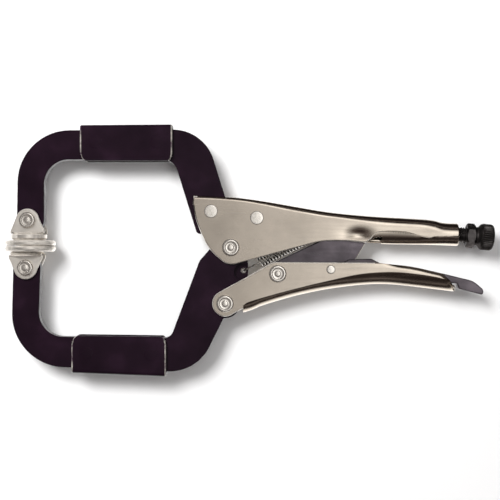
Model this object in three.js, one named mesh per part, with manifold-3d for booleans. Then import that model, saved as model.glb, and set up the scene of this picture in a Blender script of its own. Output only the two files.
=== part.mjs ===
// Locking C-clamp pliers with swivel pads, lying flat and locked shut.
// +X runs from the pads to the adjusting screw, +Y from the lower handle to the upper one,
// and +Z up along the rivets. Shapes are drawn from the jaw pivot; the last lines move the
// origin to the middle of the underside.
import * as THREE from "three";
import { mergeVertices } from "three/addons/utils/BufferGeometryUtils.js";
import Module from "manifold-3d";

const wasm = await Module();
wasm.setup();

// ---------------------------------------------------------------- driving sizes, mm and degrees
// Fits
const GAP = 0.3; // between two pieces that touch
const ARC_STEP = 12; // angle between points on a rounded corner
const WELD = 1e-4; // distance at which two vertices are one

// Forged jaws
const JAW_THICKNESS = 8;
const THROAT_DEPTH = 114; // jaw pivot to the inside of the upper arm
const THROAT_RISE = 53.6; // jaw pivot up to the inside of the upper bar
const THROAT_DROP = 54.2; // jaw pivot down to the inside of the lower bar
const ARM_WIDTH = 16.7;
const BAR_WIDTH = 18.5;
const UPPER_BAR_FALL = 0.8; // how much lower the upper bar's front end lies
const ARM_LEAN = 0.9; // the upper arm leans in by this much at its top
const LEG_WIDTH = 23.1; // the sloping rear leg of the upper jaw
const LEG_LEAN = 17.3; // degrees off vertical
const LEG_FOOT = 6.05; // where the leg's outer side would meet the pivot's level
const LOWER_ARM_SET = 3.7; // how far the lower arm stands outside the upper one
const LOWER_BAR_FALL = 4.4; // how much lower the bar's rear end lies than its front end
const EYE_RADIUS = 9.6; // lower jaw around the jaw pivot
const BOSS_RADIUS = 9; // lower jaw around the handle pivot

// Linkage, all seen from the jaw pivot at 0, 0
const HANDLE_PIVOT = [-3.5, -34.1];
const HANDLE_LEVER = 36.8; // handle pivot to link pivot
const HANDLE_LEVER_ANGLE = 29.6;
const LINK_SEAT_X = 82.6; // where the link's end meets the screw
const LINK_END_PLAY = 3.4; // room between the link's end and the screw's tip
const LEVER_PIN = [60.7, -13.4];

const THREAD_RADIUS = 4.7; // adjusting screw

// Folded sheet handles
const SHEET = 2.2;
const HANDLE_INSIDE = JAW_THICKNESS + 2 * GAP; // between the cheeks
const HANDLE_LENGTH = 138.7; // jaw pivot to the rear end of the upper handle
const TUBE_RADIUS = THREAD_RADIUS + 2.2; // rolled rear end of the upper handle
const TUBE_CENTRE_Y = 7.9;
const SCREW_TILT = 5; // the screw falls towards its knob
const LOWER_HANDLE_REACH = 136; // jaw pivot to the rear end of the lower handle
const LOBE_RADIUS = 7.9; // lower handle around its pivot
const SEAM_WIDTH = 0.6;

// Sleeves that stiffen the jaw bars
const SLEEVE_SHEET = 2.7;
const UPPER_SLEEVE = { front: -91.7, rear: -35.7 };
const LOWER_SLEEVE = { front: -96.9, rear: -39.5 };
const SLEEVE_FLANGE_CORNER = 3.4;

// Rivets: radius of the head and of the shank
const MAIN_RIVET = { head: 5.35, shank: 3.9, rise: 2.1 };
const PAD_RIVET = { head: 5, shank: 3, rise: 1.9 };
const LEVER_RIVET = { head: 2.7, shank: 1.9, rise: 1.1 };
const CHEEK_RIVET = { head: 4.1, shank: 3.3, rise: 0.45 };
const SLEEVE_RIVET = { head: 4, shank: 3.1, rise: 0.3 };
const CHEEK_RIVET_FRONT = [-12.2, 22];
const CHEEK_RIVET_REAR = [15.7, 18];
const SLEEVE_RIVET_INSET = { front: 9.2, rear: 9.3 };

// Swivel pads
const PAD_RADIUS = 15.3;
const PAD_THICKNESS = 3.3;
const PAD_HUB_RADIUS = 10.8;
const PAD_NECK_RADIUS = 9.7;
const PAD_EAR_RADIUS = 6.9;
const PAD_EAR_THICKNESS = 2.2;
const PAD_FACE_Y = 0.95; // level at which the two pads meet
const PAD_CENTRE_X = -THROAT_DEPTH - 8.9;
const UPPER_PAD = { x: -THROAT_DEPTH - 9.7, height: 15.5, ring: 8.2 };
const LOWER_PAD = { x: -THROAT_DEPTH - 10.9, height: 13.1, ring: 6.2 };
const ARM_END_REACH = 7.9; // arm beyond the pad's pivot
const ARM_END_ROOM = 0.7; // arm end to the floor of the pad's fork

// Toggle link and release lever
const LINK_THICKNESS = JAW_THICKNESS - 3;
const LINK_EYE_RADIUS = 7.1;
const LEVER_WIDTH = HANDLE_INSIDE - 0.8;
const LEVER_SHEET = 1.1;
const LEVER_EAR_RADIUS = 5.6;
const LEVER_FLOOR_ROOM = 2.6; // lever above the inside of the handle's web

// Adjusting screw
const THREAD_PITCH = 1.5;
const THREAD_DEPTH = 0.75;
const THREADED_SHOW = 6; // grooves cut beyond the tube
const BORE_CLEARANCE = 0.35;
const NUT_FLATS = 2 * THREAD_RADIUS + 3.6;
const NUT_THICKNESS = 5.2;
const NUT_STAND_OFF = 5.2; // tube end to nut
const KNOB_RADIUS = THREAD_RADIUS + 3.3;
const KNOB_NECK_RADIUS = THREAD_RADIUS + 0.9;
const KNOB_NECK = 1.6;
const KNOB_CONE = 1.8;
const KNOB_LENGTH = 7.7;
const KNOB_TEETH = 34;
const KNURL_DEPTH = 0.45;

// Tension spring
const SPRING_MEAN_RADIUS = 2.65;
const SPRING_WIRE = 1.1;
const SPRING_PITCH = 1.9;
const SPRING_HOOK = [7.6, -14.1]; // hole in the lower jaw
const SPRING_SPAN = 66; // between the two hook holes
const SPRING_DIP = 1.5; // the spring lies this much flatter than the link
const HOOK_RADIUS = 2.3;
const HOOK_LEAD = 11; // hook hole to the first coil
const HOOK_HOLE = 1.7;
const LUG_THICKNESS = 2.4;
const LUG_RECESS_RADIUS = 5.2;
const LUG_RECESS = [7, -15];
const LUG_EDGE = 10.4;

// ---------------------------------------------------------------- finishes
const finish = (color, metalness, roughness) =>
  new THREE.MeshStandardMaterial({ color, metalness, roughness });
const blackCoat = finish(0x1c171c, 0.35, 0.42);
const satinNickel = finish(0xa89e90, 0.95, 0.34);
const brightNickel = finish(0xd6cfc4, 1, 0.2);
const blackOxide = finish(0x16151a, 0.7, 0.38);
const darkSteel = finish(0x3d3840, 0.8, 0.4);

// ---------------------------------------------------------------- small helpers
const degrees = THREE.MathUtils.degToRad;
const tan = (angle) => Math.tan(degrees(angle));
const along = (angle) => new THREE.Vector2(Math.cos(degrees(angle)), Math.sin(degrees(angle)));

// A geometry becomes a solid that can be joined and cut.
function solid(geometry) {
  const bare = geometry.clone();
  bare.deleteAttribute("normal");
  bare.deleteAttribute("uv");
  const welded = mergeVertices(bare, WELD);
  const corners = Array.from(welded.index.array);
  const faces = [];
  for (let i = 0; i < corners.length; i += 3) {
    const face = corners.slice(i, i + 3);
    if (new Set(face).size === 3) faces.push(...face);
  }
  const vertProperties = Float32Array.from(welded.attributes.position.array);
  return new wasm.Manifold(
    new wasm.Mesh({ numProp: 3, vertProperties, triVerts: Uint32Array.from(faces) }),
  );
}

const joined = (first, ...others) => others.reduce((sum, next) => sum.add(next), first);
const cut = (body, ...tools) => tools.reduce((rest, tool) => rest.subtract(tool), body);

function node(name, body, material) {
  const { vertProperties, triVerts } = body.getMesh();
  const geometry = new THREE.BufferGeometry();
  geometry.setAttribute("position", new THREE.BufferAttribute(vertProperties, 3));
  geometry.setIndex(new THREE.BufferAttribute(triVerts, 1));
  geometry.computeVertexNormals();
  const mesh = new THREE.Mesh(geometry, material);
  mesh.name = name;
  return mesh;
}

// A closed outline through corners [x, y, radius]; a tangent arc rounds each corner, no larger
// than half of the shorter side beside it allows.
function outline(corners) {
  const points = [];
  const count = corners.length;
  corners.forEach(([x, y, radius = 0], i) => {
    const here = new THREE.Vector2(x, y);
    const [beforeX, beforeY] = corners[(i + count - 1) % count];
    const [afterX, afterY] = corners[(i + 1) % count];
    const back = new THREE.Vector2(beforeX, beforeY).sub(here).normalize();
    const ahead = new THREE.Vector2(afterX, afterY).sub(here).normalize();
    const half = Math.acos(THREE.MathUtils.clamp(back.dot(ahead), -1, 1)) / 2;
    if (radius === 0 || Math.cos(half) < 1e-3) {
      points.push(here);
      return;
    }
    const shorterSide = Math.min(
      here.distanceTo(new THREE.Vector2(beforeX, beforeY)),
      here.distanceTo(new THREE.Vector2(afterX, afterY)),
    );
    const fitted = Math.min(radius, (shorterSide / 2) * Math.tan(half));
    const inward = back.clone().add(ahead).normalize();
    const centre = here.clone().addScaledVector(inward, fitted / Math.sin(half));
    const first = here.clone().addScaledVector(back, fitted / Math.tan(half)).sub(centre);
    const turn = (Math.PI - 2 * half) * Math.sign(ahead.cross(back));
    const steps = Math.max(1, Math.ceil(Math.abs(turn) / degrees(ARC_STEP)));
    for (let step = 0; step <= steps; step += 1) {
      const spoke = first.clone().rotateAround(new THREE.Vector2(), (turn * step) / steps);
      points.push(spoke.add(centre));
    }
  });
  return points;
}

// A flat plate of an outline, between two heights.
function plate(points, bottom, top) {
  const shape = new THREE.Shape(points);
  const geometry = new THREE.ExtrudeGeometry(shape, { depth: top - bottom, bevelEnabled: false });
  return solid(geometry.translate(0, 0, bottom));
}

const centredPlate = (points, thickness) => plate(points, -thickness / 2, thickness / 2);

function disc([x, y], radius, bottom, top, sides = 24) {
  const geometry = new THREE.CylinderGeometry(radius, radius, top - bottom, sides);
  geometry.rotateX(Math.PI / 2);
  return solid(geometry.translate(x, y, (top + bottom) / 2));
}

const centredDisc = (place, radius, thickness) =>
  disc(place, radius, -thickness / 2, thickness / 2);

const THROUGH = 60; // longer than any hole is deep
const hole = (place, radius) => centredDisc(place, radius, THROUGH);

function block(left, right, low, high, bottom, top) {
  const geometry = new THREE.BoxGeometry(right - left, high - low, top - bottom);
  return solid(geometry.translate((left + right) / 2, (low + high) / 2, (bottom + top) / 2));
}

// A body turned about +Y from [radius, height] points that start and end on the axis.
function turned(profile, sides = 32) {
  const points = profile.map(([radius, height]) => new THREE.Vector2(radius, height));
  return solid(new THREE.LatheGeometry(points, sides));
}

// A smooth curve through points, read as height at a given x.
function profileLine(points) {
  const curve = new THREE.SplineCurve(points.map(([x, y]) => new THREE.Vector2(x, y)));
  const samples = curve.getPoints(points.length * 12);
  return (x) => {
    const passed = samples.filter((point) => point.x <= x).length;
    const i = THREE.MathUtils.clamp(passed - 1, 0, samples.length - 2);
    const span = samples[i + 1].x - samples[i].x;
    const share = THREE.MathUtils.clamp((x - samples[i].x) / span, 0, 1);
    return THREE.MathUtils.lerp(samples[i].y, samples[i + 1].y, share);
  };
}

// One upright section of a folded handle: a box in Y and Z with rounded corners.
function sectionRing({ x, top, bottom, half, topRadius, bottomRadius }) {
  const upper = Math.min(topRadius, half);
  const lower = Math.min(bottomRadius, half);
  const corners = [
    [top - upper, half - upper, upper, 0],
    [bottom + lower, half - lower, lower, 90],
    [bottom + lower, lower - half, lower, 180],
    [top - upper, upper - half, upper, 270],
  ];
  const stepsPerCorner = 5;
  return corners.flatMap(([y, z, radius, start]) =>
    Array.from({ length: stepsPerCorner + 1 }, (_, step) => {
      const spoke = along(start + (90 * step) / stepsPerCorner).multiplyScalar(radius);
      return new THREE.Vector3(x, y + spoke.x, z + spoke.y);
    }),
  );
}

// A skin over sections that follow one another along +X.
function loft(sections) {
  const rings = sections.map(sectionRing);
  const width = rings[0].length;
  const faces = [];
  for (let ring = 0; ring < rings.length - 1; ring += 1) {
    for (let k = 0; k < width; k += 1) {
      const near = ring * width + k;
      const nearNext = ring * width + ((k + 1) % width);
      faces.push(near, nearNext, near + width);
      faces.push(nearNext, nearNext + width, near + width);
    }
  }
  const last = (rings.length - 1) * width;
  for (let k = 1; k < width - 1; k += 1) {
    faces.push(0, k + 1, k);
    faces.push(last, last + k, last + k + 1);
  }
  const geometry = new THREE.BufferGeometry().setFromPoints(rings.flat());
  geometry.setIndex(faces);
  return solid(geometry);
}

// ---------------------------------------------------------------- points that pieces share
const JAW_PIVOT = [0, 0];
const leverArm = along(HANDLE_LEVER_ANGLE).multiplyScalar(HANDLE_LEVER);
const LINK_PIVOT = [HANDLE_PIVOT[0] + leverArm.x, HANDLE_PIVOT[1] + leverArm.y];
const screwHeight = (x) => TUBE_CENTRE_Y + (HANDLE_LENGTH - x) * tan(SCREW_TILT);
const LINK_SEAT = [LINK_SEAT_X, screwHeight(LINK_SEAT_X)];
const linkRun = new THREE.Vector2(...LINK_SEAT).sub(new THREE.Vector2(...LINK_PIVOT));
const LINK_LENGTH = linkRun.length();
const LINK_ANGLE = THREE.MathUtils.radToDeg(linkRun.angle());
const SPRING_ANGLE = LINK_ANGLE - SPRING_DIP;
const springWay = along(SPRING_ANGLE);
const SPRING_ANCHOR = [
  SPRING_HOOK[0] + springWay.x * SPRING_SPAN,
  SPRING_HOOK[1] + springWay.y * SPRING_SPAN,
];
const CHEEK_INNER = HANDLE_INSIDE / 2;
const CHEEK_OUTER = CHEEK_INNER + SHEET;
const JAW_FACE = JAW_THICKNESS / 2;
const UPPER_PAD_PIVOT = [UPPER_PAD.x, PAD_FACE_Y + GAP / 2 + UPPER_PAD.height];
const LOWER_PAD_PIVOT = [LOWER_PAD.x, PAD_FACE_Y - GAP / 2 - LOWER_PAD.height];

const legOuter = (y) => LEG_FOOT - y * tan(LEG_LEAN);
const legInner = (y) => legOuter(y) - LEG_WIDTH / Math.cos(degrees(LEG_LEAN));

// ---------------------------------------------------------------- forged jaws
function upperJaw() {
  const armInner = -THROAT_DEPTH;
  const armOuter = armInner - ARM_WIDTH;
  const armEnd = UPPER_PAD_PIVOT[1] - ARM_END_REACH;
  const barOuter = THROAT_RISE + BAR_WIDTH;
  const footLevel = EYE_RADIUS - 1.3;
  const tailUnder = EYE_RADIUS + 1.6;
  const tailEnd = CHEEK_RIVET_REAR[0] + 7.8;
  const tailTop = CHEEK_RIVET_FRONT[1] + 5;
  const points = outline([
    [legOuter(tailTop), tailTop, 1.5],
    [tailEnd, tailTop - 3.2, 4],
    [tailEnd, tailUnder, 4],
    [-6, tailUnder, 1],
    [-8.5, footLevel, 1],
    [legInner(footLevel), footLevel, 2.5],
    [legInner(THROAT_RISE), THROAT_RISE, 9],
    [armInner, THROAT_RISE, 15],
    [armInner, armEnd, ARM_WIDTH / 2 - 0.05],
    [armOuter, armEnd, ARM_WIDTH / 2 - 0.05],
    [armOuter + ARM_LEAN, barOuter - UPPER_BAR_FALL, 34.5],
    [legOuter(barOuter), barOuter, 26],
  ]);
  return cut(
    centredPlate(points, JAW_THICKNESS),
    hole(UPPER_PAD_PIVOT, PAD_RIVET.shank + GAP),
    hole(CHEEK_RIVET_FRONT, CHEEK_RIVET.shank + GAP),
    hole(CHEEK_RIVET_REAR, CHEEK_RIVET.shank + GAP),
    ...sleeveRivetPlaces(UPPER_SLEEVE, upperBarMiddle).map((place) =>
      hole(place, SLEEVE_RIVET.shank + GAP),
    ),
  );
}

const upperBarMiddle = () => THROAT_RISE + BAR_WIDTH / 2 + 1.1;
const upperBarOuter = (x) => {
  const front = [-THROAT_DEPTH - ARM_WIDTH + ARM_LEAN, THROAT_RISE + BAR_WIDTH - UPPER_BAR_FALL];
  const rear = [legOuter(THROAT_RISE + BAR_WIDTH), THROAT_RISE + BAR_WIDTH];
  return lineThrough(front, rear)(x);
};

// The lower bar lies a little tilted when the jaws are shut.
const LOWER_CORNER = {
  frontInner: [-THROAT_DEPTH - LOWER_ARM_SET, -THROAT_DROP],
  rearInner: [-36.9, -THROAT_DROP - 1.1],
  frontOuter: [-THROAT_DEPTH - LOWER_ARM_SET - ARM_WIDTH, -THROAT_DROP - BAR_WIDTH + 0.9],
  rearOuter: [-21, -THROAT_DROP - BAR_WIDTH - LOWER_BAR_FALL + 0.8],
};

function lineThrough([x0, y0], [x1, y1]) {
  return (x) => y0 + ((x - x0) * (y1 - y0)) / (x1 - x0);
}

const lowerBarInner = lineThrough(LOWER_CORNER.frontInner, LOWER_CORNER.rearInner);
const lowerBarOuter = lineThrough(LOWER_CORNER.frontOuter, LOWER_CORNER.rearOuter);
const lowerBarMiddle = (x) => (lowerBarInner(x) + lowerBarOuter(x)) / 2;

function lowerJaw() {
  const armEnd = LOWER_PAD_PIVOT[1] + ARM_END_REACH;
  const armEndMiddle = LOWER_PAD_PIVOT[0] + 0.6;
  const endRadius = ARM_WIDTH / 2 - 0.1;
  const lugFoot = HANDLE_PIVOT[1] + BOSS_RADIUS + 3;
  const points = outline([
    [armEndMiddle - ARM_WIDTH / 2, armEnd, endRadius],
    [armEndMiddle + ARM_WIDTH / 2, armEnd, endRadius],
    [...LOWER_CORNER.frontInner, 15],
    [...LOWER_CORNER.rearInner, 6],
    [-EYE_RADIUS * 2, -8.1, 8],
    [-11, 4.2, 4],
    [0, EYE_RADIUS / 2],
    [EYE_RADIUS - 0.3, 0],
    [LUG_EDGE, -EYE_RADIUS, 1.5],
    [LUG_EDGE, lugFoot, 3],
    [HANDLE_PIVOT[0] + 6.5, HANDLE_PIVOT[1] + 4],
    [HANDLE_PIVOT[0] - 1, HANDLE_PIVOT[1] - BOSS_RADIUS + 0.1],
    [...LOWER_CORNER.rearOuter, 27],
    [...LOWER_CORNER.frontOuter, 32.5],
  ]);
  const body = joined(
    centredPlate(points, JAW_THICKNESS),
    centredDisc(JAW_PIVOT, EYE_RADIUS, JAW_THICKNESS),
    centredDisc(HANDLE_PIVOT, BOSS_RADIUS, JAW_THICKNESS),
  );
  return cut(
    body,
    hole(JAW_PIVOT, MAIN_RIVET.shank + GAP),
    hole(HANDLE_PIVOT, MAIN_RIVET.shank + GAP),
    hole(LOWER_PAD_PIVOT, PAD_RIVET.shank + GAP),
    hole(SPRING_HOOK, HOOK_HOLE),
    disc(LUG_RECESS, LUG_RECESS_RADIUS, LUG_THICKNESS / 2, JAW_THICKNESS),
    disc(LUG_RECESS, LUG_RECESS_RADIUS, -JAW_THICKNESS, -LUG_THICKNESS / 2),
    ...sleeveRivetPlaces(LOWER_SLEEVE, lowerBarMiddle).map((place) =>
      hole(place, SLEEVE_RIVET.shank + GAP),
    ),
  );
}

// ---------------------------------------------------------------- sleeves on the bars
function sleeveRivetPlaces({ front, rear }, middle) {
  const frontX = front + SLEEVE_RIVET_INSET.front;
  const rearX = rear - SLEEVE_RIVET_INSET.rear;
  return [
    [frontX, middle(frontX)],
    [rearX, middle(rearX)],
  ];
}

// A folded channel over a bar: free is the flanges' edge, web the closed side.
function sleeve({ front, rear }, free, barEdge, middle) {
  const outward = Math.sign(barEdge(front) - free(front));
  const web = (x) => barEdge(x) + outward * (GAP + SLEEVE_SHEET);
  const side = outline([
    [front, web(front), 1],
    [rear, web(rear), 1],
    [rear, free(rear), SLEEVE_FLANGE_CORNER - 1.4],
    [front, free(front), SLEEVE_FLANGE_CORNER],
  ]);
  const hollow = outline([
    [front - 5, barEdge(front - 5) + outward * GAP],
    [rear + 5, barEdge(rear + 5) + outward * GAP],
    [rear + 5, free(rear) - outward * BAR_WIDTH],
    [front - 5, free(front) - outward * BAR_WIDTH],
  ]);
  return cut(
    centredPlate(side, JAW_THICKNESS + 2 * (GAP + SLEEVE_SHEET)),
    centredPlate(hollow, JAW_THICKNESS + 2 * GAP),
    ...sleeveRivetPlaces({ front, rear }, middle).map((place) =>
      hole(place, SLEEVE_RIVET.head + GAP),
    ),
  );
}

const upperSleeve = () =>
  sleeve(UPPER_SLEEVE, () => THROAT_RISE - 0.3, upperBarOuter, upperBarMiddle);
const lowerSleeve = () =>
  sleeve(LOWER_SLEEVE, (x) => lowerBarInner(x) + 0.3, lowerBarOuter, lowerBarMiddle);

// ---------------------------------------------------------------- rivets
const RIVET_SIDES = 20;

// A rivet stands on Z with a domed head beyond each cheek face.
function rivet({ head, shank, rise }, seat) {
  const base = seat + GAP;
  const upper = [
    [shank, base],
    [head, base],
    [head, base + rise * 0.3],
    [head * 0.72, base + rise],
    [0, base + rise],
  ];
  const lower = upper.map(([radius, height]) => [radius, -height]).reverse();
  return turned([...lower, ...upper], RIVET_SIDES).rotate([90, 0, 0]);
}

// A flush rivet fills its hole in the sheet and stands a little proud.
function flushRivet({ head, shank, rise }, inner, outer) {
  const seat = inner + GAP;
  const upper = [
    [shank, seat],
    [head, seat],
    [head, outer + rise],
    [0, outer + rise],
  ];
  const lower = upper.map(([radius, height]) => [radius, -height]).reverse();
  return turned([...lower, ...upper], RIVET_SIDES).rotate([90, 0, 0]);
}

// ---------------------------------------------------------------- upper handle
const handleTop = profileLine([
  [-26, 32.1],
  [0, 30.7],
  [20, 28.2],
  [40, 24.8],
  [60, 21.5],
  [LINK_SEAT_X, screwHeight(LINK_SEAT_X) + 6.5],
  [HANDLE_LENGTH - 29, screwHeight(HANDLE_LENGTH - 29) + 7.3],
  [HANDLE_LENGTH - 16, TUBE_CENTRE_Y + 8.9],
  [HANDLE_LENGTH - 8.7, TUBE_CENTRE_Y + 7.3],
  [HANDLE_LENGTH, TUBE_CENTRE_Y + TUBE_RADIUS],
  [HANDLE_LENGTH + 4, TUBE_CENTRE_Y + TUBE_RADIUS],
]);
const TUBE_START = LINK_SEAT_X - 1.6; // the cheeks begin to curl under
const TUBE_CLOSED = LINK_SEAT_X + 13;
const handleUnder = profileLine([
  [TUBE_START, 2.9],
  [TUBE_START + 10, 2.4],
  [HANDLE_LENGTH - 20, 1.7],
  [HANDLE_LENGTH, TUBE_CENTRE_Y - TUBE_RADIUS],
  [HANDLE_LENGTH + 4, TUBE_CENTRE_Y - TUBE_RADIUS],
]);

// Outer and inner sections of the upper handle at one place.
function upperSections(x) {
  const curl = THREE.MathUtils.smoothstep(x, TUBE_START, TUBE_CLOSED);
  const round = THREE.MathUtils.smoothstep(x, HANDLE_LENGTH - 26, HANDLE_LENGTH - 6);
  const open = x < TUBE_START;
  const bottom = open ? -16 : handleUnder(x);
  const half = THREE.MathUtils.lerp(CHEEK_OUTER, TUBE_RADIUS, round);
  const topRadius = THREE.MathUtils.lerp(3.4, TUBE_RADIUS, round);
  const bottomRadius = THREE.MathUtils.lerp(0.4, TUBE_RADIUS - 0.4, curl);
  const outer = { x, top: handleTop(x), bottom, half, topRadius, bottomRadius };
  const floor = THREE.MathUtils.lerp(-1.5, SHEET, curl);
  const inner = {
    x,
    top: outer.top - SHEET,
    bottom: open ? bottom - 2 : bottom + floor,
    half: half - SHEET,
    topRadius: Math.max(0.8, topRadius - SHEET),
    bottomRadius: Math.max(0.3, bottomRadius - SHEET),
  };
  return { outer, inner };
}

function stations(from, to, count) {
  return Array.from({ length: count + 1 }, (_, i) => from + ((to - from) * i) / count);
}

function cheekOutline() {
  const step = handleUnder(TUBE_START) - 0.05;
  return outline([
    [-22.3, 60],
    [-22.9, 19, 50],
    [-13.5, -1.5, 30],
    [-1.73, -11.25, 10],
    [55, 4.1, 45],
    [72, 4.2, 30],
    [TUBE_START + 0.05, step + 0.2],
    [TUBE_START + 0.1, -8],
    [HANDLE_LENGTH, -8],
    [HANDLE_LENGTH, 60],
  ]);
}

// Where the near cheek's edge meets the far one that curls up to it.
function seamLine() {
  return [
    [TUBE_START + 2, 3],
    [TUBE_START + 4.8, 5],
    [TUBE_START + 7.4, 8],
    [TUBE_START + 11, 9.3],
    [TUBE_START + 24, 9],
    [HANDLE_LENGTH - 19, 5.7],
    [HANDLE_LENGTH - 12, 6.3],
    [HANDLE_LENGTH + 5, 6.2],
  ];
}

// A band of even height along a line of points.
function ribbon(points, height) {
  const lower = points.map(([x, y]) => new THREE.Vector2(x, y - height / 2));
  const upper = points.map(([x, y]) => new THREE.Vector2(x, y + height / 2)).reverse();
  return [...lower, ...upper];
}

function upperHandle() {
  const front = stations(-26, TUBE_START - 0.2, 8);
  const middle = stations(TUBE_START, TUBE_CLOSED, 5);
  const rear = stations(TUBE_CLOSED + 5, HANDLE_LENGTH + 4, 7);
  const sections = [...front, ...middle, ...rear].map(upperSections);
  const tilt = -SCREW_TILT - 90;
  const bore = solid(
    new THREE.CylinderGeometry(
      THREAD_RADIUS + BORE_CLEARANCE,
      THREAD_RADIUS + BORE_CLEARANCE,
      HANDLE_LENGTH - LINK_SEAT_X + 20,
      32,
    )
      .translate(0, 10 - (HANDLE_LENGTH - LINK_SEAT_X) / 2, 0)
      .rotateZ(degrees(tilt))
      .translate(HANDLE_LENGTH, TUBE_CENTRE_Y, 0),
  );
  const seam = plate(ribbon(seamLine(), SEAM_WIDTH), 1, TUBE_RADIUS + 2);
  const shell = cut(
    loft(sections.map(({ outer }) => outer)),
    loft(sections.map(({ inner }) => inner)),
  );
  const tab = centredPlate(
    outline([
      [SPRING_ANCHOR[0] - 2.6, SPRING_ANCHOR[1] - 2.4, 0.8],
      [SPRING_ANCHOR[0] + 3.6, SPRING_ANCHOR[1] - 2.4, 0.8],
      [SPRING_ANCHOR[0] + 5, handleTop(SPRING_ANCHOR[0] + 5) - SHEET / 2],
      [SPRING_ANCHOR[0] - 2.6, handleTop(SPRING_ANCHOR[0] - 2.6) - SHEET / 2],
    ]),
    LUG_THICKNESS,
  );
  const tabWithHole = cut(tab, hole(SPRING_ANCHOR, HOOK_HOLE));
  const jawNotch = legOuter(handleTop(0)) + 2.4;
  const slotEnd = LINK_SEAT_X + 9.4;
  const slotHalf = LINK_THICKNESS / 2 + 0.8;
  return cut(
    joined(shell.intersect(plate(cheekOutline(), -20, 20)), tabWithHole),
    bore,
    seam,
    block(-40, jawNotch, 12, 50, -CHEEK_INNER, CHEEK_INNER),
    block(LINK_SEAT_X - 14, slotEnd, -6, 9, -slotHalf, slotHalf),
    hole(JAW_PIVOT, MAIN_RIVET.shank + GAP),
    hole(CHEEK_RIVET_FRONT, CHEEK_RIVET.head + GAP),
    hole(CHEEK_RIVET_REAR, CHEEK_RIVET.head + GAP),
  );
}

// ---------------------------------------------------------------- lower handle
const lowerWeb = profileLine([
  [-30, -50],
  [8, -39.7],
  [20, -35.2],
  [40, -29.4],
  [60, -25.3],
  [80, -22.8],
  [95, -22.4],
  [LOWER_HANDLE_REACH - 26, -23.7],
  [LOWER_HANDLE_REACH, -26.9],
  [LOWER_HANDLE_REACH + 6, -27.7],
]);

function lowerSections(x) {
  const bend = THREE.MathUtils.lerp(4.6, 5.6, THREE.MathUtils.smoothstep(x, 20, 90));
  const outer = {
    x,
    top: 6,
    bottom: lowerWeb(x),
    half: CHEEK_OUTER,
    topRadius: 1,
    bottomRadius: bend,
  };
  const inner = {
    x,
    top: 9,
    bottom: outer.bottom + SHEET,
    half: CHEEK_INNER,
    topRadius: 1,
    bottomRadius: bend - SHEET,
  };
  return { outer, inner };
}

function lowerCheekOutline() {
  const edge = along(HANDLE_LEVER_ANGLE + 90).multiplyScalar(LOBE_RADIUS - 0.3);
  const shoulder = -8.9;
  const rise = (shoulder - HANDLE_PIVOT[1] - edge.y) / tan(HANDLE_LEVER_ANGLE);
  const end = LOWER_HANDLE_REACH;
  return outline([
    [HANDLE_PIVOT[0] + edge.x, HANDLE_PIVOT[1] + edge.y],
    [HANDLE_PIVOT[0] + edge.x + rise, shoulder, 9],
    [92, -9.3, 60],
    [end - 26, -11.1, 70],
    [end - 7.4, -15.5, 3],
    [end - 2.2, -20.5, 6],
    [end, -26, 2],
    [end - 0.4, -40],
    [7.4, -46],
    [6.6, -37.9, 0.5],
    [3.3, -38.6],
    [HANDLE_PIVOT[0], HANDLE_PIVOT[1] - LOBE_RADIUS + 0.2],
  ]);
}

function lowerHandle() {
  const sections = stations(-14, LOWER_HANDLE_REACH + 4, 16).map(lowerSections);
  const shell = cut(
    loft(sections.map(({ outer }) => outer)),
    loft(sections.map(({ inner }) => inner)),
  );
  const lobes = [-1, 1].map((side) => {
    const faces = [side * CHEEK_INNER, side * CHEEK_OUTER].sort((a, b) => a - b);
    return disc(HANDLE_PIVOT, LOBE_RADIUS, ...faces);
  });
  const webStart = HANDLE_PIVOT[0] + BOSS_RADIUS + 2.1;
  const trimmed = shell.intersect(plate(lowerCheekOutline(), -20, 20));
  return cut(
    joined(trimmed, ...lobes),
    block(-30, webStart, -60, HANDLE_PIVOT[1] + 2, -CHEEK_INNER, CHEEK_INNER),
    hole(HANDLE_PIVOT, MAIN_RIVET.shank + GAP),
    hole(LINK_PIVOT, MAIN_RIVET.shank + GAP),
    hole(LEVER_PIN, LEVER_RIVET.shank + GAP),
  );
}

// ---------------------------------------------------------------- toggle link
// Drawn along +X from its pivot, then turned onto the line to the screw.
function toggleLink() {
  const end = LINK_LENGTH;
  const points = outline([
    [0, LINK_EYE_RADIUS],
    [0, -LINK_EYE_RADIUS],
    [end - 31, -9.2, 3],
    [end - 25.2, -12, 2],
    [end - 17, -15.9, 1.5],
    [end + 4.6, -0.9, 3.2],
    [end + 1.8, 2.8, 2.6],
    [end - 26, 5.5, 20],
  ]);
  return cut(
    joined(
      centredPlate(points, LINK_THICKNESS),
      centredDisc([0, 0], LINK_EYE_RADIUS, LINK_THICKNESS),
      centredDisc([0, 0], LINK_EYE_RADIUS - 0.8, HANDLE_INSIDE - 2 * GAP),
    ),
    hole([0, 0], MAIN_RIVET.shank + GAP),
  );
}

// ---------------------------------------------------------------- release lever
// Lower edge of the lever, clear of the handle's web.
const leverFloor = (x) => lowerWeb(x) + SHEET + LEVER_FLOOR_ROOM;

function leverSide() {
  const end = LOWER_HANDLE_REACH;
  const [pinX, pinY] = LEVER_PIN;
  return outline([
    [pinX, pinY + 4],
    [pinX + 7, pinY + 4, 2],
    [pinX + 11.5, pinY + 6.1, 4],
    [pinX + 25, pinY + 6.5, 3],
    [pinX + 31.5, pinY + 3.2, 6],
    [end - 26, -12.4, 40],
    [end - 8, -15.6, 40],
    [end + 11.8, -20.4, 12],
    [end + 18.2, -25.8, 5],
    [end + 17.6, -29, 1.2],
    [end + 3, -25.2, 1],
    [end + 1.8, leverFloor(end) + 0.1, 1],
    [end - 16, leverFloor(end - 16), 40],
    [100, leverFloor(100), 40],
    [80, leverFloor(80), 40],
    [pinX + 4, pinY - 4.6, 2],
    [pinX, pinY - 4.6],
  ]);
}

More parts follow.
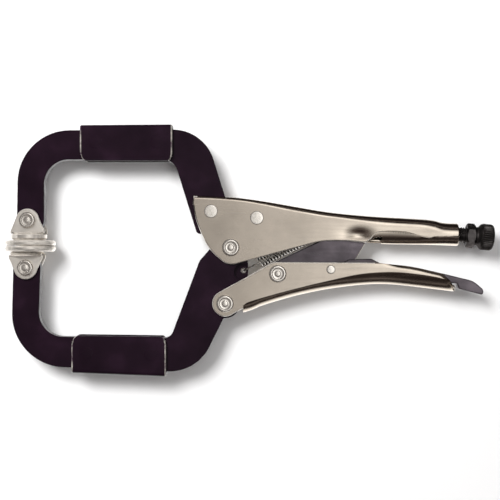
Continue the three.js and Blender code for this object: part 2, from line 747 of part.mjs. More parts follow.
// A folded channel, open towards the link, with a bar across that pushes on the link.
function releaseLever() {
  const inside = LEVER_WIDTH - 2 * LEVER_SHEET;
  const end = LOWER_HANDLE_REACH;
  const [pinX, pinY] = LEVER_PIN;
  const floor = (x) => leverFloor(x) + LEVER_SHEET;
  const body = joined(
    centredPlate(leverSide(), LEVER_WIDTH),
    centredDisc(LEVER_PIN, LEVER_EAR_RADIUS, LEVER_WIDTH),
  );
  const hollow = outline([
    [pinX - 8, 5],
    [pinX - 8, -40],
    [pinX + 3, -40],
    [pinX + 3, floor(80)],
    [80, floor(80), 40],
    [100, floor(100), 40],
    [end - 16, floor(end - 16), 40],
    [end + 1, floor(end) + 0.2],
    [end + 8, -23.2],
    [end + 9, 5],
  ]);
  const pushBar = outline([
    [pinX + 9.5, pinY + 0.2, 0.8],
    [pinX + 14.5, pinY + 0.2, 0.8],
    [pinX + 14.5, pinY + 1.8, 0.8],
    [pinX + 9.5, pinY + 1.8, 0.8],
  ]);
  return cut(
    joined(cut(body, centredPlate(hollow, inside)), centredPlate(pushBar, inside + LEVER_SHEET)),
    hole(LEVER_PIN, LEVER_RIVET.shank + GAP),
  );
}

// ---------------------------------------------------------------- swivel pads
// Drawn with the pad's pivot at 0, 0 and its face downwards.
function swivelPad({ x, height, ring }, armReach) {
  const face = -height;
  const ringTop = face + ring;
  const back = face + PAD_THICKNESS;
  const disk = turned([
    [0, face],
    [PAD_RADIUS - 0.5, face],
    [PAD_RADIUS, face + 0.5],
    [PAD_RADIUS, back - 0.5],
    [PAD_RADIUS - 0.5, back],
    [0, back],
  ], 36).translate([PAD_CENTRE_X - x, 0, 0]);
  const hub = turned([
    [0, face + 1],
    [PAD_NECK_RADIUS, face + 1],
    [PAD_NECK_RADIUS, back + 0.7],
    [PAD_HUB_RADIUS, back + 0.7],
    [PAD_HUB_RADIUS, ringTop],
    [0, ringTop],
  ]);
  const earFace = JAW_FACE + GAP + PAD_EAR_THICKNESS;
  const ear = outline([
    [-PAD_HUB_RADIUS + 0.6, ringTop - 1],
    [PAD_HUB_RADIUS - 0.6, ringTop - 1],
    [PAD_HUB_RADIUS - 1, ringTop + 1.2, 4],
    [PAD_EAR_RADIUS, -2, 6],
    [PAD_EAR_RADIUS, PAD_EAR_RADIUS, PAD_EAR_RADIUS - 0.05],
    [-PAD_EAR_RADIUS, PAD_EAR_RADIUS, PAD_EAR_RADIUS - 0.05],
    [-PAD_EAR_RADIUS, -2, 6],
    [-PAD_HUB_RADIUS + 1, ringTop + 1.2, 4],
  ]);
  const fork = block(-30, 30, -armReach, 30, -JAW_FACE - GAP, JAW_FACE + GAP);
  return cut(
    joined(disk, hub, centredPlate(ear, 2 * earFace)),
    fork,
    hole([0, 0], PAD_RIVET.shank + GAP),
  );
}

// ---------------------------------------------------------------- adjusting screw and lock nut
// Both are drawn on the screw's axis, as height beyond the rear end of the tube.
function adjustingScrew() {
  const tip = LINK_SEAT_X + LINK_END_PLAY + 4 - HANDLE_LENGTH;
  const root = THREAD_RADIUS - THREAD_DEPTH;
  const profile = [
    [0, tip],
    [root - 1.5, tip],
    [root, tip + 1.2],
    [THREAD_RADIUS, tip + 2.2],
    [THREAD_RADIUS, 0],
  ];
  for (let turn = 0; (turn + 1) * THREAD_PITCH <= THREADED_SHOW; turn += 1) {
    const start = turn * THREAD_PITCH;
    profile.push([root, start + THREAD_PITCH / 2], [THREAD_RADIUS, start + THREAD_PITCH]);
  }
  const neckStart = NUT_STAND_OFF + NUT_THICKNESS + GAP;
  const coneStart = neckStart + KNOB_NECK;
  const drumStart = coneStart + KNOB_CONE;
  const drumEnd = drumStart + KNOB_LENGTH;
  profile.push(
    [THREAD_RADIUS, neckStart],
    [KNOB_NECK_RADIUS, neckStart],
    [KNOB_NECK_RADIUS, coneStart],
    [KNOB_RADIUS - KNURL_DEPTH, drumStart],
    [KNOB_RADIUS - KNURL_DEPTH, drumEnd - 1.2],
    [KNOB_RADIUS - KNURL_DEPTH - 1.6, drumEnd],
    [0, drumEnd],
  );
  return joined(turned(profile, 24), knurledBand(drumStart + 0.3, drumEnd - 1));
}

function knurledBand(from, to) {
  const points = Array.from({ length: KNOB_TEETH * 2 }, (_, i) => {
    const radius = KNOB_RADIUS - (i % 2) * KNURL_DEPTH;
    return along((180 * i) / KNOB_TEETH).multiplyScalar(radius);
  });
  return plate(points, from, to).rotate([-90, 0, 0]);
}

function lockNut() {
  const across = NUT_FLATS / Math.cos(Math.PI / 6);
  const body = new THREE.CylinderGeometry(across / 2, across / 2, NUT_THICKNESS, 6);
  body.rotateY(Math.PI / 6);
  const middle = NUT_STAND_OFF + NUT_THICKNESS / 2;
  const half = NUT_THICKNESS / 2;
  const chamfer = turned([
    [0, middle - half],
    [NUT_FLATS / 2 - 0.1, middle - half],
    [across / 2 + 0.1, middle - half + 0.9],
    [across / 2 + 0.1, middle + half - 0.9],
    [NUT_FLATS / 2 - 0.1, middle + half],
    [0, middle + half],
  ]);
  const bore = new THREE.CylinderGeometry(THREAD_RADIUS + GAP, THREAD_RADIUS + GAP, 40, 32);
  return cut(solid(body.translate(0, middle, 0)).intersect(chamfer), solid(bore));
}

// ---------------------------------------------------------------- tension spring
// Drawn along +X from the hook hole in the lower jaw: hook, coils, hook.
function springPath() {
  const points = [];
  const hookPoint = (centre, angle) =>
    new THREE.Vector3(
      centre - HOOK_RADIUS * Math.cos(degrees(angle)),
      0,
      HOOK_RADIUS * Math.sin(degrees(angle)),
    );
  for (let angle = -80; angle <= 80; angle += 20) points.push(hookPoint(HOOK_RADIUS, angle));
  const coilLength = SPRING_SPAN - 2 * HOOK_LEAD;
  const turns = Math.round(coilLength / SPRING_PITCH);
  const perTurn = 8;
  points.push(new THREE.Vector3(HOOK_LEAD - 3, 0, SPRING_MEAN_RADIUS));
  for (let step = 0; step <= turns * perTurn; step += 1) {
    const angle = (360 * step) / perTurn;
    const spoke = along(90 - angle).multiplyScalar(SPRING_MEAN_RADIUS);
    const reach = HOOK_LEAD + (coilLength * step) / (turns * perTurn);
    points.push(new THREE.Vector3(reach, spoke.x, spoke.y));
  }
  points.push(new THREE.Vector3(SPRING_SPAN - HOOK_LEAD + 3, 0, SPRING_MEAN_RADIUS));
  for (let angle = 80; angle >= -80; angle -= 20) {
    const point = hookPoint(HOOK_RADIUS, angle);
    points.push(new THREE.Vector3(SPRING_SPAN - point.x, 0, point.z));
  }
  return new THREE.CatmullRomCurve3(points, false, "centripetal");
}

function tensionSpring() {
  const sides = 5;
  const section = new THREE.Shape(
    Array.from({ length: sides }, (_, i) =>
      along((360 * i) / sides).multiplyScalar(SPRING_WIRE / 2),
    ),
  );
  const path = springPath();
  return solid(
    new THREE.ExtrudeGeometry(section, { steps: path.points.length - 1, extrudePath: path }),
  );
}

// ---------------------------------------------------------------- assembly
// A group at a pivot, so that its pieces are drawn or moved from there.
function pivotGroup(name, [x, y], ...pieces) {
  const group = new THREE.Group();
  group.name = name;
  group.position.set(x, y, 0);
  group.add(...pieces);
  return group;
}

// Pieces drawn from the jaw pivot, hung on a group that stands at another pivot.
function fromJawPivot([x, y], mesh) {
  mesh.position.set(-x, -y, 0);
  return mesh;
}

function placed(mesh, [x, y], turn = 0) {
  mesh.position.set(x, y, 0);
  mesh.rotation.z = degrees(turn);
  return mesh;
}

function sleeveRivets(prefix, sleeveEnds, middle) {
  const inner = JAW_FACE + GAP;
  return sleeveRivetPlaces(sleeveEnds, middle).map((place, i) => {
    const body = flushRivet(SLEEVE_RIVET, inner, inner + SLEEVE_SHEET);
    return placed(node(`${prefix}_${["left", "right"][i]}`, body, blackCoat), place);
  });
}

function fixedAssembly() {
  const cheekRivet = () => flushRivet(CHEEK_RIVET, CHEEK_INNER, CHEEK_OUTER);
  return pivotGroup(
    "upper_handle_frame",
    JAW_PIVOT,
    node("upper_handle", upperHandle(), satinNickel),
    node("upper_jaw", upperJaw(), blackCoat),
    placed(node("cheek_rivet_front", cheekRivet(), brightNickel), CHEEK_RIVET_FRONT),
    placed(node("cheek_rivet_rear", cheekRivet(), brightNickel), CHEEK_RIVET_REAR),
    node("upper_jaw_sleeve", upperSleeve(), blackCoat),
    ...sleeveRivets("upper_sleeve_rivet", UPPER_SLEEVE, upperBarMiddle),
    node("jaw_pivot_rivet", rivet(MAIN_RIVET, CHEEK_OUTER), brightNickel),
    placed(node("tension_spring", tensionSpring(), darkSteel), SPRING_HOOK, SPRING_ANGLE),
    placed(
      node("upper_pad_rivet", rivet(PAD_RIVET, JAW_FACE + GAP + PAD_EAR_THICKNESS), brightNickel),
      UPPER_PAD_PIVOT,
    ),
  );
}

function lowerJawAssembly() {
  const padSeat = JAW_FACE + GAP + PAD_EAR_THICKNESS;
  return pivotGroup(
    "jaw_pivot",
    JAW_PIVOT,
    node("lower_jaw", lowerJaw(), blackCoat),
    node("lower_jaw_sleeve", lowerSleeve(), blackCoat),
    ...sleeveRivets("lower_sleeve_rivet", LOWER_SLEEVE, lowerBarMiddle),
    placed(
      node("handle_pivot_rivet", rivet(MAIN_RIVET, CHEEK_OUTER), brightNickel),
      HANDLE_PIVOT,
    ),
    placed(node("lower_pad_rivet", rivet(PAD_RIVET, padSeat), brightNickel), LOWER_PAD_PIVOT),
  );
}

function lowerHandleAssembly() {
  const handle = node("lower_handle", lowerHandle(), satinNickel);
  const linkRivet = node("link_pivot_rivet", rivet(MAIN_RIVET, CHEEK_OUTER), brightNickel);
  const leverPin = node("release_lever_pin", rivet(LEVER_RIVET, CHEEK_OUTER), brightNickel);
  const fromPivot = ([x, y]) => [x - HANDLE_PIVOT[0], y - HANDLE_PIVOT[1]];
  return pivotGroup(
    "handle_pivot",
    HANDLE_PIVOT,
    fromJawPivot(HANDLE_PIVOT, handle),
    placed(linkRivet, fromPivot(LINK_PIVOT)),
    placed(leverPin, fromPivot(LEVER_PIN)),
  );
}

function linkAssembly() {
  const link = node("toggle_link", toggleLink(), darkSteel);
  return pivotGroup("link_pivot", LINK_PIVOT, placed(link, [0, 0], LINK_ANGLE));
}

function leverAssembly() {
  const lever = node("release_lever", releaseLever(), darkSteel);
  return pivotGroup("lever_pivot", LEVER_PIN, fromJawPivot(LEVER_PIN, lever));
}

function padAssemblies() {
  const upper = swivelPad(UPPER_PAD, ARM_END_REACH + ARM_END_ROOM);
  const lower = swivelPad(LOWER_PAD, ARM_END_REACH + ARM_END_ROOM).mirror([0, 1, 0]);
  return [
    pivotGroup("upper_pad_pivot", UPPER_PAD_PIVOT, node("upper_swivel_pad", upper, brightNickel)),
    pivotGroup("lower_pad_pivot", LOWER_PAD_PIVOT, node("lower_swivel_pad", lower, brightNickel)),
  ];
}

function screwAssembly() {
  const group = pivotGroup(
    "screw_axis",
    [HANDLE_LENGTH, TUBE_CENTRE_Y],
    node("adjusting_screw", adjustingScrew(), blackOxide),
    node("lock_nut", lockNut(), blackOxide),
  );
  group.rotation.z = degrees(-90 - SCREW_TILT);
  return group;
}

const pliers = new THREE.Group();
pliers.add(
  fixedAssembly(),
  lowerJawAssembly(),
  lowerHandleAssembly(),
  linkAssembly(),
  leverAssembly(),
  ...padAssemblies(),
  screwAssembly(),
);
const extent = new THREE.Box3().setFromObject(pliers);
const middle = extent.getCenter(new THREE.Vector3());
pliers.position.set(-middle.x, -middle.y, -extent.min.z);

export default pliers;
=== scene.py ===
"""Locking C-clamp pliers: the finished surface of every piece, its finish, and a plain studio."""

import math

import bmesh
import bpy
from bpy.props import FloatProperty, FloatVectorProperty, PointerProperty
from mathutils import Matrix, Vector


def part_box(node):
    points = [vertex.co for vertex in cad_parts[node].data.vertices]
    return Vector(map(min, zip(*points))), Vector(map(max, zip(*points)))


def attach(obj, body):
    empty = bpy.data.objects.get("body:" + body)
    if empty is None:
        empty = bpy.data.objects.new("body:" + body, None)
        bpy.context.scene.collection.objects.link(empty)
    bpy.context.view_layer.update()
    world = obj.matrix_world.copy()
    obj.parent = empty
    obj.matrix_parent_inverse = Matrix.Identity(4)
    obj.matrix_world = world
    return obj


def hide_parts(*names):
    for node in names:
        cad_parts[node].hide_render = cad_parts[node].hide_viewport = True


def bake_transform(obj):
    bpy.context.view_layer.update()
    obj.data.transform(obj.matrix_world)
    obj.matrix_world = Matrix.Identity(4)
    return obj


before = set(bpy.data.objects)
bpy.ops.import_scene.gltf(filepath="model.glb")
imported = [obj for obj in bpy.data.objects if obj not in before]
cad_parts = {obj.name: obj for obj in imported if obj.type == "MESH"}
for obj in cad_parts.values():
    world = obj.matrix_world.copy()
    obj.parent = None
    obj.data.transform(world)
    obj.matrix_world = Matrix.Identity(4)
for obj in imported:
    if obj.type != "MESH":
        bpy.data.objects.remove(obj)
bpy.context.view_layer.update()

bl_info = {
    "name": "Locking Pliers",
    "version": (1, 0, 0),
    "blender": (4, 5, 0),
    "location": "View3D > Sidebar > Pliers",
    "description": "Builds locking C-clamp pliers piece by piece around their moving frame",
    "category": "Object",
}

MM = 0.001

# ------------------------------------------------------------------ shared sizes, in millimetres
# Points are seen from the jaw pivot: x towards the knob, y towards the upper handle, z along
# the rivets.
THROAT_DEPTH = 114.0
THROAT_RISE = 53.6
ARM_WIDTH = 16.7
BAR_WIDTH = 18.5
UPPER_BAR_FALL = 0.8
ARM_LEAN = 0.9
LEG_WIDTH = 23.1
LEG_LEAN = math.radians(17.3)
LEG_FOOT = 6.05
EYE_RADIUS = 9.6
BOSS_RADIUS = 9.0
LOWER_FRONT_INNER = (-117.7, -54.2)
LOWER_REAR_INNER = (-36.9, -55.3)
LOWER_FRONT_OUTER = (-134.4, -71.8)
LOWER_REAR_OUTER = (-21.0, -76.3)

HANDLE_PIVOT = (-3.5, -34.1)
LINK_PIVOT = (28.4974, -15.9229)
LINK_SEAT = (82.6, 12.808)
LEVER_PIN = (60.7, -13.4)
CHEEK_RIVETS = ((-12.2, 22.0), (15.7, 18.0))
UPPER_PAD = (-123.7, 16.6)
LOWER_PAD = (-124.9, -12.3)
PAD_CENTRE_X = -122.9

JAW_HALF = 4.0
CHEEK_INNER = 4.3
CHEEK_OUTER = 6.5
SHEET = 2.2
LINK_HALF = 2.5
LINK_BOSS_HALF = 4.0
LEVER_HALF = 3.9
LEVER_HOLLOW_HALF = 2.8
LEVER_BAR_HALF = 3.3
SHEET_RIM = 0.85
HANDLE_END_RIM = 0.5
HANDLE_LENGTH = 138.7
TUBE_RADIUS = 6.9
TUBE_CENTRE_Y = 7.9
SCREW_TILT = math.radians(5)
LOWER_REACH = 136.0
LOBE_RADIUS = 7.9
WEB_START = 7.4
LOWER_END_HEIGHT = 3.2
LOWER_EDGE_LEAN = math.radians(29.6)
TUBE_START = 81.0

SLEEVE_SHEET = 2.7
GAP = 0.3
UPPER_SLEEVE = (-91.7, -35.7)
LOWER_SLEEVE = (-96.9, -39.5)
SLEEVE_RIVET_INSET = (9.2, 9.3)

SPRING_HOOK = (7.6, -14.1)
SPRING_SPAN = 66.0
HOOK_HOLE = 1.6
LUG_RECESS = (7, -15)  # the lower jaw is thinned here to a lug for the spring
LUG_RADIUS = 5.2
LUG_HALF = 1.2

CUT_EDGE = 0.02  # a cutting tool's own rim
SHARP_ANGLE = math.radians(38)


# ------------------------------------------------------------------ drawing helpers
def middle_of(node):
    """The middle of a frame node's box in the row frame, in metres."""
    low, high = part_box(node)
    return (low + high) / 2


JAW_PIVOT = middle_of("jaw_pivot_rivet")


def to_row(mesh, spot=(0.0, 0.0), turn=None):
    """Takes a mesh drawn in millimetres about a spot to its place in the row frame."""
    place = Matrix.Translation(JAW_PIVOT) @ Matrix.Scale(MM, 4)
    place = place @ Matrix.Translation((spot[0], spot[1], 0))
    if turn is not None:
        place = place @ turn
    mesh.transform(place)


def lerp(a, b, t):
    return a + (b - a) * t


def smoothstep(x, low, high):
    t = min(1.0, max(0.0, (x - low) / (high - low)))
    return t * t * (3 - 2 * t)


def line_through(a, b):
    return lambda x: a[1] + (x - a[0]) * (b[1] - a[1]) / (b[0] - a[0])


def spline(points, detail=14):
    """A smooth curve through points with rising x, read as height at a given x."""
    samples = []
    last = len(points) - 1
    for i in range(last):
        p0, p1 = Vector(points[max(0, i - 1)]), Vector(points[i])
        p2, p3 = Vector(points[i + 1]), Vector(points[min(last, i + 2)])
        for k in range(detail):
            t = k / detail
            a = 2 * p1 + (p2 - p0) * t
            b = (2 * p0 - 5 * p1 + 4 * p2 - p3) * t * t
            c = (3 * p1 - p0 - 3 * p2 + p3) * t ** 3
            samples.append((a + b + c) / 2)
    samples.append(Vector(points[-1]))

    def height(x):
        i = sum(1 for p in samples if p.x <= x) - 1
        i = min(max(i, 0), len(samples) - 2)
        a, b = samples[i], samples[i + 1]
        t = min(1.0, max(0.0, (x - a.x) / max(1e-9, b.x - a.x)))
        return lerp(a.y, b.y, t)

    return height


def outline(corners, step=math.radians(4)):
    """A closed outline through corners (x, y, radius), each rounded by a tangent arc."""
    points = []
    count = len(corners)
    for i, corner in enumerate(corners):
        here = Vector(corner[:2])
        radius = corner[2] if len(corner) > 2 else 0.0
        before = Vector(corners[i - 1][:2])
        after = Vector(corners[(i + 1) % count][:2])
        back, ahead = (before - here).normalized(), (after - here).normalized()
        half = math.acos(min(1.0, max(-1.0, back.dot(ahead)))) / 2
        if radius == 0 or math.cos(half) < 1e-3:
            points.append(here)
            continue
        shorter = min((before - here).length, (after - here).length)
        fitted = min(radius, shorter / 2 * math.tan(half))
        inward = (back + ahead).normalized()
        centre = here + inward * (fitted / math.sin(half))
        first = here + back * (fitted / math.tan(half)) - centre
        turn = (math.pi - 2 * half) * math.copysign(1, ahead.x * back.y - ahead.y * back.x)
        steps = max(2, math.ceil(abs(turn) / step))
        for k in range(steps + 1):
            spoke = first.copy()
            spoke.rotate(Matrix.Rotation(turn * k / steps, 2))
            points.append(centre + spoke)
    kept = [p for i, p in enumerate(points) if (p - points[i - 1]).length > 1e-4]
    area = sum(a.x * b.y - b.x * a.y for a, b in zip(kept, kept[1:] + kept[:1]))
    return kept if area > 0 else kept[::-1]


def circle(centre, radius, count=64):
    return [
        Vector((centre[0] + radius * math.cos(a), centre[1] + radius * math.sin(a)))
        for a in (2 * math.pi * k / count for k in range(count))
    ]


def resample(points, spacing):
    """The same open polyline with points an even distance apart."""
    lengths = [0.0]
    for a, b in zip(points, points[1:]):
        lengths.append(lengths[-1] + (b - a).length)
    count = max(2, round(lengths[-1] / spacing))
    result, k = [], 0
    for i in range(count + 1):
        goal = lengths[-1] * i / count
        while k < len(points) - 2 and lengths[k + 1] < goal:
            k += 1
        t = (goal - lengths[k]) / max(1e-9, lengths[k + 1] - lengths[k])
        result.append(points[k].lerp(points[k + 1], min(1.0, t)))
    return result


# ------------------------------------------------------------------ mesh helpers
# Rims as (inset, depth): a rounded one, and a steep ground one with softened corners.
ROUND = ((1.0, 0.0), (0.617, 0.076), (0.293, 0.293), (0.076, 0.617), (0.0, 1.0))
GROUND = ((0.72, 0.0), (0.56, 0.03), (0.44, 0.14), (0.06, 0.86), (0.0, 1.0))


def mesh_from(rings, closed_rings=True, caps=True):
    """A skin over rings of points that follow one another."""
    work = bmesh.new()
    rows = [[work.verts.new(p) for p in ring] for ring in rings]
    width = len(rows[0])
    sides = width if closed_rings else width - 1
    for a, b in zip(rows, rows[1:]):
        for k in range(sides):
            n = (k + 1) % width
            work.faces.new((a[k], a[n], b[n], b[k]))
    if caps:
        work.faces.new(rows[0][::-1])
        work.faces.new(rows[-1])
    return close_mesh(work)


def close_mesh(work):
    bmesh.ops.remove_doubles(work, verts=work.verts, dist=1e-5)
    bmesh.ops.recalc_face_normals(work, faces=work.faces)
    mesh = bpy.data.meshes.new("piece")
    work.to_mesh(mesh)
    work.free()
    return mesh


def plate(points, bottom, top, edge=0.6, keep=None, rim=ROUND):
    """A plate of an outline with softened rims; where keep(point) holds, the rim stays square."""
    count = len(points)
    inward = []
    for i, p in enumerate(points):
        before, after = points[i - 1], points[(i + 1) % count]
        held = keep is not None and keep(p)
        d1, d2 = (p - before).normalized(), (after - p).normalized()
        n1, n2 = Vector((-d1.y, d1.x)), Vector((-d2.y, d2.x))
        if held:
            free = [n for n, q in ((n1, before), (n2, after)) if not keep(q)]
            inward.append(free[0].copy() if free else Vector((0, 0)))
            inward[-1].x = 0
            continue
        n = (n1 + n2).normalized()
        inward.append(n / max(0.35, n.dot(n1)))
    rings = []
    levels = [(inset * edge, bottom + depth * edge) for inset, depth in rim]
    levels += [(inset, bottom + top - z) for inset, z in reversed(levels)]
    for inset, z in levels:
        rings.append([(*(p + n * inset), z) for p, n in zip(points, inward)])
    return mesh_from(rings)


def turned(profile, count=72, radius_at=None):
    """A body turned about z from (radius, height) points; radius_at(radius, angle, height)
    may change the radius."""
    rings = []
    for radius, height in profile:
        ring = []
        for k in range(count):
            a = 2 * math.pi * k / count
            r = radius if radius_at is None else radius_at(radius, a, height)
            r = max(r, 1e-3)
            ring.append((r * math.cos(a), r * math.sin(a), height))
        rings.append(ring)
    return mesh_from(rings)


def soft_profile(corners):
    """A (radius, height) line with its corners rounded."""
    points = []
    for i, corner in enumerate(corners):
        if len(corner) == 2 or i in (0, len(corners) - 1):
            points.append(Vector(corner[:2]))
            continue
        here, radius = Vector(corner[:2]), corner[2]
        before, after = Vector(corners[i - 1][:2]), Vector(corners[i + 1][:2])
        back = (before - here).normalized() * min(radius, (before - here).length / 2)
        ahead = (after - here).normalized() * min(radius, (after - here).length / 2)
        for t in (0.0, 0.25, 0.5, 0.75, 1.0):
            a, b = here + back, here + ahead
            points.append(a.lerp(here, t).lerp(here.lerp(b, t), t))
    return points


TO_Y = Matrix.Rotation(-math.pi / 2, 4, "X")
TO_X = Matrix.Rotation(math.pi / 2, 4, "Y")


def folded(sections, thickness, edge, end_edge, ground=(True, True)):
    """A folded sheet. Each section is a line of points on the outer face, from one free edge
    to the other; inner points lie a sheet's thickness inside, and free edges are ground.
    ground tells whether the first and the last section end in a rim, which adds end_edge."""
    inner_way = []
    for line in sections:
        ways = []
        for k in range(len(line)):
            t = line[min(k + 1, len(line) - 1)] - line[max(k - 1, 0)]
            ways.append(Vector((0, t.z, -t.y)).normalized())
        inner_way.append(ways)
    rings = []
    last = len(sections) - 1
    for i, line in enumerate(sections):
        ends = []
        for k, step in ((0, 1), (len(line) - 1, -1)):
            along = sections[min(i + 1, last)][k] - sections[max(i - 1, 0)][k]
            along.normalize()
            into = (line[k + step] - line[k]).normalized()
            into = (into - along * into.dot(along)).normalized()
            ends.append((line[k], into, inner_way[i][k]))
        rim = [(inset * edge, depth * edge) for inset, depth in GROUND]
        rims = []
        for spot, into, deep in ends:
            half = [spot + into * inset + deep * depth for inset, depth in rim]
            half += [spot + into * inset + deep * (thickness - depth) for inset, depth in rim[::-1]]
            rims.append(half)
        middle_out = list(line[1:-1])
        middle_in = [p + n * thickness for p, n in zip(line[1:-1], inner_way[i][1:-1])]
        rings.append(rims[0][::-1] + middle_out + rims[1] + middle_in[::-1])
    return mesh_from(ground_ends(rings, end_edge, ground))


def ground_ends(rings, edge, chosen):
    """Adds shrunken rings beyond the chosen ends of a skin along x, as a ground rim."""
    for at_start in [side for side, wanted in zip((True, False), chosen) if wanted]:
        end = rings[0] if at_start else rings[-1]
        outward = Vector((-1 if at_start else 1, 0, 0))
        count = len(end)
        extra = []
        for inset, depth in GROUND[:-1]:
            ring = []
            for k, here in enumerate(end):
                along = end[(k + 1) % count] - end[k - 1]
                side = along.cross(outward).normalized()
                side = side if at_start else -side
                ring.append(here + outward * edge * (1 - depth) - side * edge * inset)
            extra.append(ring)
        rings = extra + rings if at_start else rings + extra[::-1]
    return rings


def joined(*meshes):
    work = bmesh.new()
    for mesh in meshes:
        work.from_mesh(mesh)
        bpy.data.meshes.remove(mesh)
    result = bpy.data.meshes.new("piece")
    work.to_mesh(result)
    work.free()
    return result


def cut(mesh, *tools):
    """The mesh less each tool."""
    body = bpy.data.objects.new("body", mesh)
    bpy.context.scene.collection.objects.link(body)
    helpers = []
    for tool in tools:
        helper = bpy.data.objects.new("tool", tool)
        bpy.context.scene.collection.objects.link(helper)
        helpers.append(helper)
        knife = body.modifiers.new("cut", "BOOLEAN")
        knife.operation = "DIFFERENCE"
        knife.solver = "EXACT"
        knife.object = helper
    bpy.context.view_layer.update()
    graph = bpy.context.evaluated_depsgraph_get()
    result = bpy.data.meshes.new_from_object(body.evaluated_get(graph))
    for thing in (body, *helpers):
        bpy.data.objects.remove(thing)
    return result


def piece(name, mesh, body, node, material, rim=None, on_rim=None):
    """Shows a mesh as the finished form of a frame node; faces for which on_rim(face) holds
    take the rim material."""
    mesh.name = name
    made = bpy.data.objects.new(name, mesh)
    bpy.context.scene.collection.objects.link(made)
    mesh.materials.clear()
    mesh.materials.append(material)
    if rim is not None:
        mesh.materials.append(rim)
    # Faces for which on_rim holds take the rim material, a painted highlight.
    for face in mesh.polygons:
        face.use_smooth = True
        face.material_index = 1 if rim is not None and on_rim(face) else 0
    mesh.set_sharp_from_angle(angle=SHARP_ANGLE)
    weigh = made.modifiers.new("even normals", "WEIGHTED_NORMAL")
    weigh.keep_sharp = True
    if body is not None:
        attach(made, body)
    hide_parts(node)
    return made


# ------------------------------------------------------------------ finishes
class Recipe:
    """A small helper that lays out a procedural material."""

    def __init__(self, name, metallic, specular=0.5, glance=1.0):
        self.material = bpy.data.materials.new(f"finish {name}")
        self.material.use_nodes = True
        self.tree = self.material.node_tree
        self.shader = self.tree.nodes["Principled BSDF"]
        self.shader.inputs["Metallic"].default_value = metallic
        self.shader.inputs["Specular IOR Level"].default_value = specular
        self.shader.inputs["Specular Tint"].default_value = (glance, glance, glance, 1)
        self.where = self.tree.nodes.new("ShaderNodeTexCoord")

    def link(self, source, target):
        self.tree.links.new(source, target)

    def noise(self, scale, detail=3.0, stretch=(1, 1, 1), roughness=0.5):
        mapping = self.tree.nodes.new("ShaderNodeMapping")
        mapping.inputs["Scale"].default_value = stretch
        self.link(self.where.outputs["Object"], mapping.inputs["Vector"])
        texture = self.tree.nodes.new("ShaderNodeTexNoise")
        texture.inputs["Scale"].default_value = scale
        texture.inputs["Detail"].default_value = detail
        texture.inputs["Roughness"].default_value = roughness
        self.link(mapping.outputs["Vector"], texture.inputs["Vector"])
        return texture.outputs["Fac"]

    def ramp(self, source, low, high, start=0.3, end=0.7):
        node = self.tree.nodes.new("ShaderNodeMapRange")
        node.inputs["From Min"].default_value = start
        node.inputs["From Max"].default_value = end
        node.inputs["To Min"].default_value = low
        node.inputs["To Max"].default_value = high
        self.link(source, node.inputs["Value"])
        return node.outputs["Result"]

    def colours(self, source, stops):
        node = self.tree.nodes.new("ShaderNodeValToRGB")
        elements = node.color_ramp.elements
        elements[0].position, elements[0].color = stops[0][0], (*stops[0][1], 1)
        elements[1].position, elements[1].color = stops[-1][0], (*stops[-1][1], 1)
        for place, colour in stops[1:-1]:
            elements.new(place).color = (*colour, 1)
        self.link(source, node.inputs["Fac"])
        self.link(node.outputs["Color"], self.shader.inputs["Base Color"])

    def roughness(self, source):
        self.link(source, self.shader.inputs["Roughness"])

    def bump(self, *layers):
        """Layers of (height source, depth in metres), added up."""
        normal = None
        for source, depth in layers:
            node = self.tree.nodes.new("ShaderNodeBump")
            node.inputs["Distance"].default_value = depth
            self.link(source, node.inputs["Height"])
            if normal is not None:
                self.link(normal, node.inputs["Normal"])
            normal = node.outputs["Normal"]
        self.link(normal, self.shader.inputs["Normal"])


def shade(colour, factor):
    return tuple(min(1.0, c * factor) for c in colour)


def black_coat(colours):
    recipe = Recipe("black_coat", 0.0, specular=0.08)
    base = tuple(colours.coat)
    recipe.colours(
        recipe.noise(60, 4),
        [(0.3, shade(base, 0.7)), (0.55, base), (0.75, shade(base, 1.6))],
    )
    recipe.roughness(recipe.ramp(recipe.noise(220, 4), 0.3, 0.44))
    recipe.bump((recipe.noise(900, 2), 0.00003), (recipe.noise(90, 3), 0.0001))
    return recipe.material


def satin_nickel(colours):
    recipe = Recipe("satin_nickel", 1.0)
    base = tuple(colours.nickel)
    brushed = recipe.noise(260, 4, stretch=(0.12, 2.2, 1), roughness=0.6)
    recipe.colours(
        recipe.noise(42, 5, roughness=0.55),
        [(0.25, shade(base, 0.86)), (0.5, base), (0.75, shade(base, 1.12))],
    )
    recipe.roughness(recipe.ramp(brushed, 0.16, 0.28))
    recipe.bump((brushed, 0.00002), (recipe.noise(35, 2), 0.00005))
    return recipe.material


def bright_nickel(colours):
    recipe = Recipe("bright_nickel", 0.86)
    base = tuple(colours.bright)
    recipe.colours(
        recipe.noise(180, 4),
        [(0.3, shade(base, 0.82)), (0.5, base), (0.7, shade(base, 1.08))],
    )
    recipe.roughness(recipe.ramp(recipe.noise(420, 4), 0.18, 0.3))
    recipe.bump((recipe.noise(600, 3), 0.00003))
    return recipe.material


def black_oxide(colours):
    recipe = Recipe("black_oxide", 0.9, glance=0.25)
    base = tuple(colours.oxide)
    recipe.colours(
        recipe.noise(150, 5),
        [(0.3, shade(base, 0.6)), (0.55, base), (0.78, shade(base, 2.2))],
    )
    recipe.roughness(recipe.ramp(recipe.noise(320, 3), 0.22, 0.38))
    recipe.bump((recipe.noise(800, 3), 0.00003))
    return recipe.material


def dark_steel(colours):
    recipe = Recipe("dark_steel", 0.9, glance=0.4)
    base = tuple(colours.steel)
    streaks = recipe.noise(300, 4, stretch=(0.2, 1.5, 1))
    recipe.colours(
        recipe.noise(70, 5),
        [(0.28, shade(base, 0.65)), (0.5, base), (0.74, shade(base, 1.6))],
    )
    recipe.roughness(recipe.ramp(streaks, 0.24, 0.4))
    recipe.bump((streaks, 0.00003), (recipe.noise(120, 3), 0.00006))
    return recipe.material


